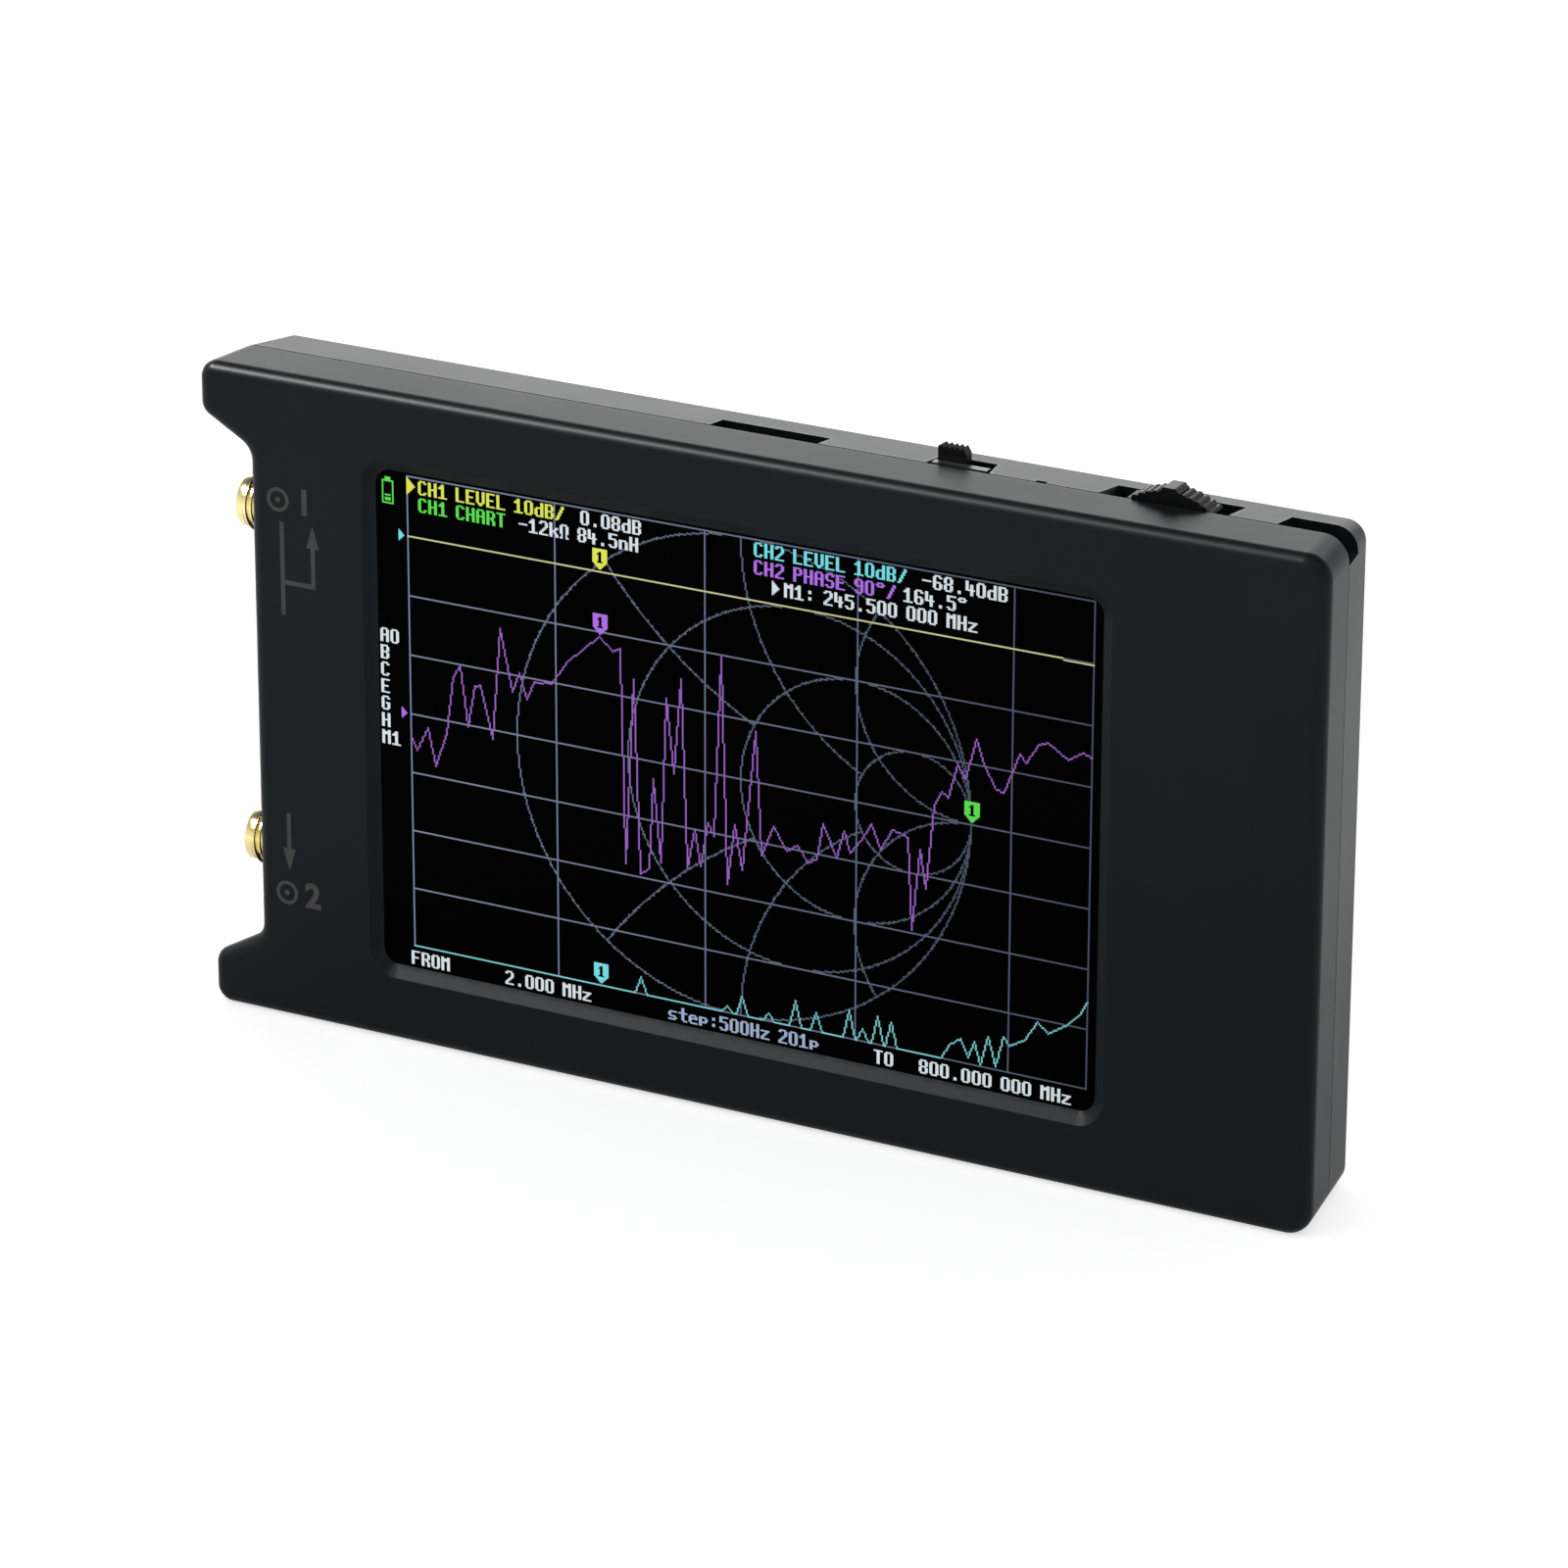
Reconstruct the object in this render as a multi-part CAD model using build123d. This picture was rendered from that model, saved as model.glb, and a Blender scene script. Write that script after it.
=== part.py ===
from build123d import *
import os
from math import cos, degrees, hypot, radians, sin

# Handheld two-port antenna analyzer.
# +X runs along the long axis (the coaxial ports are at -X), the display faces -Y, +Z is up.
# The origin is under the middle of the case, on the surface that it stands on. Millimetres.

# ---------------------------------------------------------------- driving dimensions

# case
face_length = 129.8
case_height = 73.0
case_depth = 14.8
front_depth = 7.3
wall = 1.6
seam_gap = 0.25
lap_wall = 0.6
lap_gap = 0.1
lap_depth = 0.5
lap_root = 0.3
face_fillet = 1.35
back_fillet = 0.5
corner_radius = 3.3
horn_radius = 2.4
notch_radius = 2.2
recess_depth = 6.0
horn_tip = 30.8
horn_root = 27.4
end_draft_front = 0.15
end_draft_back = 0.186
side_draft_back = 0.124
clearance = 0.3

# display
active_width = 83.52
active_height = 55.68
active_x = -1.6
active_drop = 0.2
window_margin_x = 0.24
window_margin_z = 0.06
window_radius = 1.8
window_bevel = 1.3
window_lip = 0.9
bezel_left = 2.2
bezel_right = 9.3
bezel_side = 2.7
touch_margin = 0.6
touch_thickness = 0.9
adhesive_thickness = 0.15
adhesive_width = 1.8
cell_thickness = 1.2
ledge_length = 5.0
backlight_thickness = 1.9
foam_inset = 3.0
flex_thickness = 0.12
flex_bond = 3.4
display_flex_width = 30.0
display_flex_drop = 8.0
display_flex_bend = 0.7
display_flex_landing = 6.6
touch_flex_width = 8.0
touch_flex_rise = 15.5
touch_flex_bend = 1.6
touch_flex_landing = 3.4

# board
board_thickness = 1.6
board_gap = 0.8
port_flange_gap = 2.6
edge_setback = 0.2

# coaxial ports
port_spacing = 38.2
port_reach = 1.7
thread_diameter = 6.35
thread_length = 3.6
shoulder_diameter = 5.6
lead_diameter = 5.7
lead_length = 0.9
barrel_bore = 4.15
insulator_diameter = 4.10
contact_diameter = 1.27
contact_bore = 0.95
flange_size = 6.35
flange_thickness = 1.5
leg_length = 4.4
leg_width = 1.0
front_leg_height = 0.36
tail_thickness = 0.5
tail_length = 3.8
tail_width = 0.8
contact_setback = 0.4
contact_depth = 2.6
contact_slot_depth = 1.8
contact_slot_width = 0.2
contact_gap = 0.02
rim_chamfer = 0.12
port_hole_gap = 0.275

# fasteners
screw_diameter = 1.9
screw_head_diameter = 3.8
screw_head_height = 1.5
screw_head_round = 0.4
cross_length = 2.2
cross_width = 0.6
cross_depth = 0.8
screw_length = 9.8
screw_tip_gap = 0.9
screw_pilot_gap = 0.02
screw_hole_gap = 0.2
head_gap = 0.15
boss_radius = 2.7
boss_step = 0.2
left_boss_inset = 14.9
right_boss_inset = 7.9
boss_edge = 6.5
corner_boss_edge = 12.5

# memory card socket
card_x = -1.35
card_slot_width = 12.5
card_slot_depth = 3.0
card_rail = 1.0
card_socket_length = 15.0
card_socket_setback = 0.4
card_base_height = 0.6
card_socket_height = 1.9
card_cover_sheet = 0.2

# power switch
power_slot_left_gap = 0.43
power_slot_right_gap = 1.16
power_slot_slant = 1.1
power_slot_depth = 4.3
knob_start = 17.53
knob_width = 3.21
knob_thickness = 1.2
knob_rise = 1.4
knob_travel = 2.4
knob_ridges = 5
knob_left_shoulder = 0.4
knob_left_drop = 0.18
knob_right_shoulder = 0.42
knob_right_drop = 0.7
knob_ridge_height = 0.32
knob_offset = 2.7
power_body_width = 9.0
power_body_height = 4.0
power_body_floor = 0.6
power_body_lid = 0.5
power_body_wall = 0.4
power_foot_extra = 0.2
power_lip_gap = 0.25
power_lip_front = 1.0
power_lip_drop = 0.2
running_gap = 0.15

# thumb lever
lever_x = 44.1
lever_radius = 8.17
lever_rise = 1.37
lever_thickness = 2.45
lever_half_angle = 37.0
lever_front_gap = 0.2
lever_tilt = 12.0
nub_width = 1.7
nub_height = 0.33
nub_step = 0.45
nub_slope = 0.3
nub_round = 0.26
nub_margin_angle = 1.5
ribs_per_side = 5
rib_depth = 0.19
rib_shape = ((0.08, 0.4), (0.22, 0.9), (0.4, 1.0), (0.58, 0.9), (0.72, 0.4), (0.88, 0.0))
hub_radius = 1.35
hub_thickness = 1.25
pivot_radius = 0.6
pivot_clearance = 0.05
web_radius = 2.7
web_overlap = 0.6
web_half_angle = 30.0
carriage_width = 6.0
carriage_height = 3.2
press_travel = 0.5
jog_slot_left_gap = 0.93
jog_slot_right_gap = 0.4
jog_slot_depth = 4.4
jog_ramp = 0.6
jog_body_gap = 0.13
jog_body_wall = 0.6
jog_body_floor = 1.0
jog_body_setback = 1.0
jog_plate = 0.3
hub_gap = 0.35
dome_gap = 0.6
dome_radius = 1.05
dome_shoulder = 0.8
dome_tip = 0.35
dome_height = 0.55
dome_base = 0.2

# status LED notch
led_x = 30.0
led_notch_width = 1.2
led_notch_depth = 0.75
led_pitch = 3.2

# lanyard opening
lanyard_length = 9.0
lanyard_side = 3.1
lanyard_depth = 3.8
lanyard_pocket = 6.4
lanyard_wall = 1.2
lanyard_post_end = 4.7
lanyard_post_top = 4.4
lanyard_post_radius = 1.25

# USB-C receptacle
usb_width = 8.94
usb_height = 3.16
usb_length = 7.2
usb_sheet = 0.3
usb_setback = 0.6
usb_flat = 0.05
usb_rear_length = 1.8
usb_rear_gap = 0.02
usb_tongue_width = 6.7
usb_tongue_thickness = 0.7
usb_tongue_setback = 0.8

# shield cans and chips: a package is width, height, thickness and lead reach,
# and a place is across from the shield cans' middle and up from the board's middle
shield_length = 22.0
shield_width = 16.0
shield_height = 2.6
shield_sheet = 0.2
shield_edge = 7.5
mixer_package = (4.0, 5.0, 1.6, 1.0)
mixer_pitch = 9.5
clock_package = (3.0, 3.0, 1.0, 1.0)
clock_place = (12.0, -6.0)
crystal_package = (3.2, 2.5, 0.9, 0.0)
crystal_place = (12.0, -1.2)
codec_package = (5.0, 5.0, 0.9, 0.0)
codec_place = (16.5, 14.6)
controller_package = (7.0, 7.0, 1.4, 1.0)
controller_place = (18.6, 3.0)
charger_package = (4.0, 4.0, 0.9, 0.0)
charger_reach = 5.0
regulator_package = (3.0, 1.6, 1.1, 0.6)
inductor_package = (4.2, 4.2, 2.0, 0.0)
power_pitch = 6.2
resistor_package = (1.0, 0.5, 0.45, 0.0)
capacitor_package = (1.0, 0.6, 0.6, 0.0)
passive_reach = 5.4
passive_columns = 3
passive_rows = 4
passive_pitch_x = 3.2
passive_pitch_z = 3.4
package_standoff = 0.1
lead_height = 0.2
lead_inset = 0.4
led_width = 1.0
led_height = 1.6
led_thickness = 0.7

# battery
battery_length = 62.0
battery_width = 45.0
battery_thickness = 4.9
battery_left = -8.5
battery_low = 5.5
battery_radius = 1.6
tape_thickness = 0.25
tape_inset = 4.0
lead_wire_diameter = 1.2
lead_bend = 2.6
lead_pitch = 2.0
lead_climb = 13.0
socket_gap = 1.9
socket_width = 7.8
socket_length = 6.2
socket_height = 4.4
socket_wall = 0.8
plug_gap = 0.1
plug_length = 6.7

# ---------------------------------------------------------------- worked-out places

face_y = -case_depth / 2
back_y = case_depth / 2
part_y = face_y + front_depth
mid_z = case_height / 2
half_length = face_length / 2
front_rim_y = part_y - seam_gap / 2
back_rim_y = part_y + seam_gap / 2
board_back_y = part_y - tail_thickness / 2
board_front_y = board_back_y - board_thickness
panel_front_y = face_y + window_lip
panel_back_y = panel_front_y + touch_thickness
cell_front_y = panel_back_y + adhesive_thickness
cell_back_y = cell_front_y + cell_thickness
light_back_y = cell_back_y + backlight_thickness
part_end_inset = end_draft_front * front_depth
left_wall_x = -half_length + recess_depth
board_left_x = left_wall_x + part_end_inset + wall + port_flange_gap
board_right_x = half_length - part_end_inset - wall - board_gap
board_low_z = wall + board_gap
board_high_z = case_height - wall - board_gap
port_tip_x = -half_length + port_reach
port_hole = thread_diameter + 2 * port_hole_gap
port_zs = (mid_z + port_spacing / 2, mid_z - port_spacing / 2)
active_z = mid_z - active_drop
window_width = active_width + 2 * window_margin_x
window_height = active_height + 2 * window_margin_z
module_left = active_x - active_width / 2 - bezel_left
module_right = active_x + active_width / 2 + bezel_right
module_low = active_z - active_height / 2 - bezel_side
module_high = active_z + active_height / 2 + bezel_side
screw_tip_y = face_y + wall + screw_tip_gap
screw_seat_y = screw_tip_y + screw_length
left_boss_x = -half_length + left_boss_inset
right_boss_x = half_length - right_boss_inset
screw_places = (
    (left_boss_x, boss_edge),
    (left_boss_x, case_height - boss_edge),
    (right_boss_x, boss_edge),
    (right_boss_x, case_height - corner_boss_edge),
)
card_socket_width = card_slot_width + 2 * card_rail
knob_y = part_y + knob_offset
knob_end = knob_start + knob_width
lever_sweep = lever_radius * sin(radians(lever_half_angle + lever_tilt))
power_slot_left = knob_start - power_slot_left_gap
power_slot_right = knob_end + knob_travel + power_slot_right_gap
jog_body_half = lever_sweep + jog_body_gap + jog_body_wall
lanyard_start = half_length - lanyard_length
lanyard_side_z = case_height - lanyard_side
lanyard_floor_z = case_height - lanyard_pocket
lanyard_post_x = half_length - lanyard_post_end
lanyard_post_z = case_height - lanyard_post_top


# ---------------------------------------------------------------- helpers


def block(x0, x1, y0, y1, z0, z1):
    """A box given by its two corners."""
    size = Box(abs(x1 - x0), abs(y1 - y0), abs(z1 - z0))
    return Pos((x0 + x1) / 2, (y0 + y1) / 2, (z0 + z1) / 2) * size


def depth_plane(y):
    """The X-Z plane at depth y, whose sketches read x to the right and z up."""
    return Plane(origin=(0, y, 0), x_dir=(1, 0, 0), z_dir=(0, -1, 0))


def plate(sketch, y0, y1):
    """A sketch in x and z made solid from y0 to y1."""
    return extrude(depth_plane(y1) * sketch, amount=y1 - y0, dir=(0, -1, 0))


def peg(x, z, radius, y0, y1):
    """A round peg along Y."""
    return plate(Pos(x, z) * Circle(radius), y0, y1)


def rod(x0, x1, y, z, radius):
    """A round rod along X."""
    return Pos((x0 + x1) / 2, y, z) * Rot(0, 90, 0) * Cylinder(radius, abs(x1 - x0))


def end_inset_at(y):
    """How far the ends are drawn in by draft at depth y."""
    front = end_draft_front * min(y - face_y, front_depth)
    back = end_draft_back * max(y - part_y, 0)
    return front + back


def side_inset_at(y):
    """How far the long upper side is drawn in by draft at depth y; the lower side is level, to stand on."""
    return side_draft_back * max(y - part_y, 0)


def notch_profile(inset):
    """How high above the case's middle the horns' slanted edges start and how they rise, for an inset."""
    slope = (horn_tip - horn_root) / recess_depth
    return horn_root + inset * (hypot(1, slope) - slope), slope


def notch_section(y, thickness):
    """The tapering notch between the two horns at depth y, run out past their tips."""
    inset = end_inset_at(y) + thickness
    root, slope = notch_profile(inset)
    root_x = left_wall_x + inset
    mouth_x = left_wall_x - 2 * recess_depth
    mouth = root + slope * (root_x - mouth_x)
    corners = [(mouth_x, mouth), (root_x, root), (root_x, -root), (mouth_x, -mouth)]
    return depth_plane(y) * Pos(0, mid_z) * Polygon(*corners, align=None)


def outline_radii(inset):
    """The radii of the horns' corners and the case's right corners, tighter for an outline further in."""
    return max(horn_radius - inset / 2, 0.6), max(corner_radius - inset / 2, 0.8)


def radius_near(x, z, thickness):
    """The radius of the front half's corner at x and z, smaller inside the wall."""
    horn, corner = outline_radii(end_inset_at(front_rim_y) + thickness)
    if x > 0:
        return corner
    if x > -half_length + recess_depth / 2 + thickness and abs(z - mid_z) < horn_tip:
        return notch_radius
    return horn


def front_volume(y0, thickness=0.0):
    """The case volume from y0 to the front shell's rim, with its sides moved in by a wall thickness."""
    y1 = front_rim_y
    end = end_inset_at(y0) + thickness
    length = face_length - 2 * end
    height = case_height - 2 * thickness
    step = end_inset_at(y1) - end_inset_at(y0)
    seated = (Align.MIN, Align.MIN, Align.MIN)
    body = Wedge(length, y1 - y0, height, step, 0, length - step, height, align=seated)
    body = Pos(-half_length + end, y0, thickness) * body
    body -= loft([notch_section(y0, thickness), notch_section(y1, thickness)], ruled=True)
    places = {}
    for edge in depth_edges(body, y1 - y0):
        centre = edge.center()
        places.setdefault(radius_near(centre.X, centre.Z, thickness), []).append(centre)
    for radius, centres in places.items():
        near = [e for e in depth_edges(body, y1 - y0) if min((e.center() - c).length for c in centres) < 0.01]
        body = fillet(near, radius)
    return body


def depth_edges(body, depth):
    """The edges that run through the whole depth of a body."""
    return [edge for edge in body.edges() if abs((edge @ 1).Y - (edge @ 0).Y) > depth * 0.99]


def back_outline(y, thickness):
    """The case outline at depth y behind the seam, with its corners tighter towards the back."""
    inset = end_inset_at(y) + thickness
    root, slope = notch_profile(inset)
    tip = root + slope * recess_depth
    left = -half_length + inset
    right = half_length - inset
    low = thickness
    high = case_height - side_inset_at(y) - thickness
    corners = [
        (left, high),
        (left, mid_z + tip),
        (left + recess_depth, mid_z + root),
        (left + recess_depth, mid_z - root),
        (left, mid_z - tip),
        (left, low),
        (right, low),
        (right, high),
    ]
    horn, corner = outline_radii(inset)
    radii = [horn, horn, notch_radius, notch_radius, horn, horn, corner, corner]
    return depth_plane(y) * make_face(FilletPolyline(*corners, radius=radii, close=True))


def seam_band(y0, y1, outer, inner):
    """A band from y0 to y1 that follows the case's outline at the seam, between two insets from it."""
    outlines = [back_outline(part_y, inset) for inset in (outer, inner)]
    solids = [extrude(outline, amount=y1 - y0, dir=(0, -1, 0)) for outline in outlines]
    return Pos(0, y1 - part_y, 0) * (solids[0] - solids[1])


def back_volume(y1, thickness=0.0):
    """The case volume from the back shell's rim to y1, with its sides moved in by a wall thickness."""
    return loft([back_outline(back_rim_y, thickness), back_outline(y1, thickness)], ruled=True)


def chip(x, z, package):
    """A chip package on the back of the board, with feet all along its sides if it has leads."""
    width, height, thickness, reach = package
    body = block(x - width / 2, x + width / 2, board_back_y + package_standoff, board_back_y + thickness,
                 z - height / 2, z + height / 2)
    half_foot = width / 2 + reach if reach > 0 else width / 2 - package_standoff
    inset = lead_inset if reach > 0 else package_standoff
    foot_top = board_back_y + (lead_height if reach > 0 else package_standoff)
    return body + block(x - half_foot, x + half_foot, board_back_y, foot_top, z - height / 2 + inset,
                        z + height / 2 - inset)


nodes = {}


# ---------------------------------------------------------------- case shells


def make_front_shell():
    """The face, the window with its bevel, the pocket for the touch panel and the screw bosses."""
    shell = front_volume(face_y)
    shell = fillet(shell.edges().group_by(Axis.Y)[0], face_fillet)
    shell -= front_volume(face_y + wall, wall)
    shell -= block(
        module_left - clearance,
        module_right + clearance,
        panel_front_y,
        face_y + wall,
        module_low - clearance,
        module_high + clearance,
    )
    shell -= loft([window_outline(face_y, window_bevel), window_outline(panel_front_y, 0)], ruled=True)
    for x, z in screw_places:
        shell += peg(x, z, boss_radius - boss_step, face_y + wall / 2, board_front_y)
    shell += lanyard_corner(front_rim_y - lanyard_wall, front_rim_y) & front_volume(face_y, wall / 2)
    shell -= seam_band(front_rim_y - lap_depth - lap_gap, front_rim_y + 1, lap_wall, wall + lap_gap)
    for x, z in screw_places:
        pilot_radius = screw_diameter / 2 + screw_pilot_gap
        shell -= peg(x, z, pilot_radius, screw_tip_y - screw_tip_gap / 2, board_front_y + 1)
    for z in port_zs:
        shell -= rod(port_tip_x, board_left_x, part_y, z, port_hole / 2)
    shell -= usb_cutout()
    return shell


def window_outline(y, bevel):
    """The display window's outline at depth y, widened all round by its bevel."""
    width = window_width + 2 * bevel
    height = window_height + 2 * bevel
    return depth_plane(y) * Pos(active_x, mid_z) * RectangleRounded(width, height, window_radius + bevel)


def usb_profile(x, grow):
    """The USB socket's rounded outline at x, larger by grow all round."""
    plane = Plane(origin=(x, usb_y, mid_z), x_dir=(0, 0, 1), z_dir=(1, 0, 0))
    radius = usb_height / 2 - usb_flat + grow
    return plane * RectangleRounded(usb_width + 2 * grow, usb_height + 2 * grow, radius)


def usb_cutout():
    """The rounded hole for the USB plug, through the wall between the ports."""
    return extrude(usb_profile(left_wall_x, clearance), amount=recess_depth, both=True)


def lanyard_corner(y0, y1, gap=0.0):
    """The corner that the lanyard pocket and its walls take up between two depths."""
    low = lanyard_floor_z - lanyard_wall - gap
    return block(lanyard_start - lanyard_wall - gap, half_length, y0, y1, low, case_height)


def make_back_shell():
    """The back half: screw bosses, edge openings and the lanyard pocket with its post."""
    outer = back_volume(back_y)
    cavity = back_volume(back_y - wall, wall)
    shell = fillet(outer.edges().group_by(Axis.Y)[-1], back_fillet) - cavity
    shell += seam_band(front_rim_y - lap_depth, back_rim_y + lap_root, lap_wall + lap_gap, wall)
    for x, z in screw_places:
        shell += peg(x, z, boss_radius, board_back_y, back_y - wall / 2)
    pocket_y = part_y + lanyard_depth
    shell += lanyard_corner(back_rim_y, pocket_y + lanyard_wall) & back_volume(back_y, wall / 2)
    shell -= block(lanyard_start, half_length, back_rim_y, pocket_y, lanyard_floor_z, case_height) & cavity
    shell -= block(lanyard_start, half_length, back_rim_y - 1, pocket_y, lanyard_side_z, case_height + 1)
    shell += peg(lanyard_post_x, lanyard_post_z, lanyard_post_radius, back_rim_y, pocket_y + lanyard_wall / 2)
    for x, z in screw_places:
        shell -= peg(x, z, screw_diameter / 2 + screw_hole_gap, board_back_y - 1, back_y)
        shell -= peg(x, z, screw_head_diameter / 2 + head_gap, screw_seat_y, back_y + 1)
    for z in port_zs:
        shell -= rod(port_tip_x, board_left_x, part_y, z, port_hole / 2)
    shell -= usb_cutout()
    slots = (
        (card_x - card_slot_width / 2, card_x + card_slot_width / 2, card_slot_depth),
        (led_x - led_notch_width / 2, led_x + led_notch_width / 2, led_notch_depth),
    )
    for x0, x1, depth in slots:
        shell -= block(x0, x1, back_rim_y - 1, part_y + depth, case_height - 2 * wall, case_height + 1)
    shell -= power_cutout(back_rim_y - 1)
    shell -= jog_cutout(back_rim_y - 1)
    return shell


def power_cutout(front_y):
    """The slot for the power switch, whose right end leans in towards the back."""
    back = part_y + power_slot_depth
    low = case_height - 2 * wall
    slot = block(power_slot_left, power_slot_right, front_y, back, low, case_height + 1)
    corners = [(power_slot_right + 1, part_y), (power_slot_right, part_y),
               (power_slot_right - power_slot_slant, back), (power_slot_right + 1, back)]
    outline = Plane.XY.offset(low) * Polygon(*corners, align=None)
    return slot - extrude(outline, amount=case_height + 1 - low, dir=(0, 0, 1))


def jog_cutout(front_y):
    """The slot for the thumb lever, with a ramp that eases its left end."""
    left = lever_x - lever_sweep - jog_slot_left_gap
    right = lever_x + lever_sweep + jog_slot_right_gap
    back = part_y + jog_slot_depth
    high = case_height + 1
    low = case_height - 2 * wall
    slot = block(left, right, front_y, back, low, high)
    ramp = Pos(left, 0) * Polygon((0.01, case_height), (-jog_ramp, case_height), (0.01, case_height - wall),
                                  align=None)
    return slot + plate(ramp, front_y, back)


# ---------------------------------------------------------------- display stack


def add_display():
    """Touch panel, adhesive ring, display cell, backlight, foam and the two flexes."""
    touch_left = module_left + touch_margin
    touch_right = module_right - ledge_length
    touch_low = module_low + touch_margin
    touch_high = module_high - touch_margin
    nodes["touch_panel"] = block(touch_left, touch_right, panel_front_y, panel_back_y, touch_low, touch_high)
    ring = block(touch_left, touch_right, panel_back_y, cell_front_y, touch_low, touch_high)
    ring -= block(
        touch_left + adhesive_width,
        touch_right - adhesive_width,
        panel_back_y - 1,
        cell_front_y + 1,
        touch_low + adhesive_width,
        touch_high - adhesive_width,
    )
    nodes["panel_adhesive"] = ring
    half_cell = cell_thickness / 2
    cell = block(module_left, module_right, cell_front_y + half_cell, cell_back_y, module_low, module_high)
    cell += block(module_left, touch_right, cell_front_y, cell_back_y, module_low, module_high)
    nodes["display_cell"] = cell
    light = block(module_left, module_right, cell_back_y, light_back_y, module_low, module_high)
    nodes["display_backlight"] = light
    nodes["display_foam"] = block(
        module_left + foam_inset,
        module_right - foam_inset,
        light_back_y,
        board_front_y,
        module_low + foam_inset,
        module_high - foam_inset,
    )
    nodes["display_flex"] = flex(
        (module_right - flex_bond, cell_front_y + half_cell),
        module_right + display_flex_bend,
        board_right_x - display_flex_landing,
        mid_z - display_flex_drop,
        display_flex_width,
    )
    nodes["touch_flex"] = flex(
        (touch_right, panel_back_y),
        module_right + touch_flex_bend,
        board_right_x - touch_flex_landing,
        mid_z + touch_flex_rise,
        touch_flex_width,
    )


def flex(start, bend_x, end_x, z, width):
    """A thin flex that leaves the display at start, bends down past bend_x and lands on the board."""
    start_x, start_y = start
    outer = [(start_x, start_y), (bend_x, start_y), (bend_x, board_front_y), (end_x, board_front_y)]
    inner = [
        (end_x, board_front_y - flex_thickness),
        (bend_x + flex_thickness, board_front_y - flex_thickness),
        (bend_x + flex_thickness, start_y - flex_thickness),
        (start_x, start_y - flex_thickness),
    ]
    outline = Polygon(*outer, *inner, align=None)
    return extrude(Plane.XY.offset(z - width / 2) * outline, amount=width, dir=(0, 0, 1))


# ---------------------------------------------------------------- board and fasteners


def add_board():
    """The main board, with its screw holes and the notch that clears the lanyard pocket."""
    board = block(board_left_x, board_right_x, board_front_y, board_back_y, board_low_z, board_high_z)
    board -= lanyard_corner(board_front_y - 1, board_back_y + 1, clearance)
    for x, z in screw_places:
        board -= peg(x, z, screw_diameter / 2 + screw_hole_gap, board_front_y - 1, board_back_y + 1)
    nodes["main_board"] = board


def make_screw(x, z):
    """A pan-head screw with a cross recess, driven from the back."""
    head_back = screw_seat_y + screw_head_height
    screw = peg(x, z, screw_head_diameter / 2, screw_seat_y, head_back)
    screw = fillet(screw.edges().group_by(Axis.Y)[-1], screw_head_round)
    screw += peg(x, z, screw_diameter / 2, screw_tip_y, screw_seat_y)
    arm = cross_length / 2
    bar = cross_width / 2
    for wide, tall in ((arm, bar), (bar, arm)):
        screw -= block(x - wide, x + wide, head_back - cross_depth, head_back + 1, z - tall, z + tall)
    return screw


# ---------------------------------------------------------------- coaxial ports


def add_port(index, z):
    """One edge-mount coaxial jack: gold body, insulator and centre contact."""
    y = part_y
    half = flange_size / 2
    flange_x = board_left_x - flange_thickness
    thread_x = port_tip_x + lead_length
    shoulder_x = thread_x + thread_length
    body = rod(port_tip_x, thread_x, y, z, lead_diameter / 2)
    body += rod(thread_x, shoulder_x, y, z, thread_diameter / 2)
    body += rod(shoulder_x, flange_x, y, z, shoulder_diameter / 2)
    body += block(flange_x, board_left_x, y - half, y + half, z - half, z + half)
    leg_end_x = board_left_x + leg_length
    for leg_z in (z - half, z + half - leg_width):
        for y0, height in ((board_back_y, leg_width), (board_front_y - front_leg_height, front_leg_height)):
            body += block(board_left_x, leg_end_x, y0, y0 + height, leg_z, leg_z + leg_width)
    body -= rod(port_tip_x - 1, board_left_x + 1, y, z, barrel_bore / 2)
    body = chamfer(body.edges().filter_by(GeomType.CIRCLE).group_by(Axis.X)[0], rim_chamfer)
    nodes[f"port{index}_jack"] = body

    contact_x = port_tip_x + contact_setback
    insulator = rod(contact_x, board_left_x, y, z, insulator_diameter / 2)
    insulator -= rod(contact_x - 1, board_left_x + 1, y, z, contact_diameter / 2 + contact_gap)
    nodes[f"port{index}_insulator"] = insulator

    half_slot = contact_slot_width / 2
    half_tail = tail_width / 2
    contact = rod(contact_x, board_left_x, y, z, contact_diameter / 2)
    contact -= rod(contact_x - 1, contact_x + contact_depth, y, z, contact_bore / 2)
    slot_end_x = contact_x + contact_slot_depth
    contact -= block(contact_x - 1, slot_end_x, y - contact_diameter, y + contact_diameter, z - half_slot,
                     z + half_slot)
    contact += block(board_left_x - tail_thickness, board_left_x + tail_length, y - tail_thickness / 2,
                     y + tail_thickness / 2, z - half_tail, z + half_tail)
    nodes[f"port{index}_contact"] = contact


# ---------------------------------------------------------------- USB and card sockets

usb_y = board_back_y + usb_height / 2
usb_front_x = left_wall_x + part_end_inset + usb_setback


def add_usb():
    """USB-C receptacle: folded metal shell and moulded tongue with its rear block."""
    shell = extrude(usb_profile(usb_front_x, 0), amount=usb_length)
    nodes["usb_shell"] = shell - extrude(usb_profile(usb_front_x, -usb_sheet), amount=usb_length)
    rear_x = usb_front_x + usb_length - usb_rear_length
    tongue = extrude(usb_profile(rear_x, -usb_sheet - usb_rear_gap), amount=usb_rear_length)
    half_thickness = usb_tongue_thickness / 2
    half_width = usb_tongue_width / 2
    tongue += block(
        usb_front_x + usb_tongue_setback,
        rear_x,
        usb_y - half_thickness,
        usb_y + half_thickness,
        mid_z - half_width,
        mid_z + half_width,
    )
    nodes["usb_tongue"] = tongue


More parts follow.
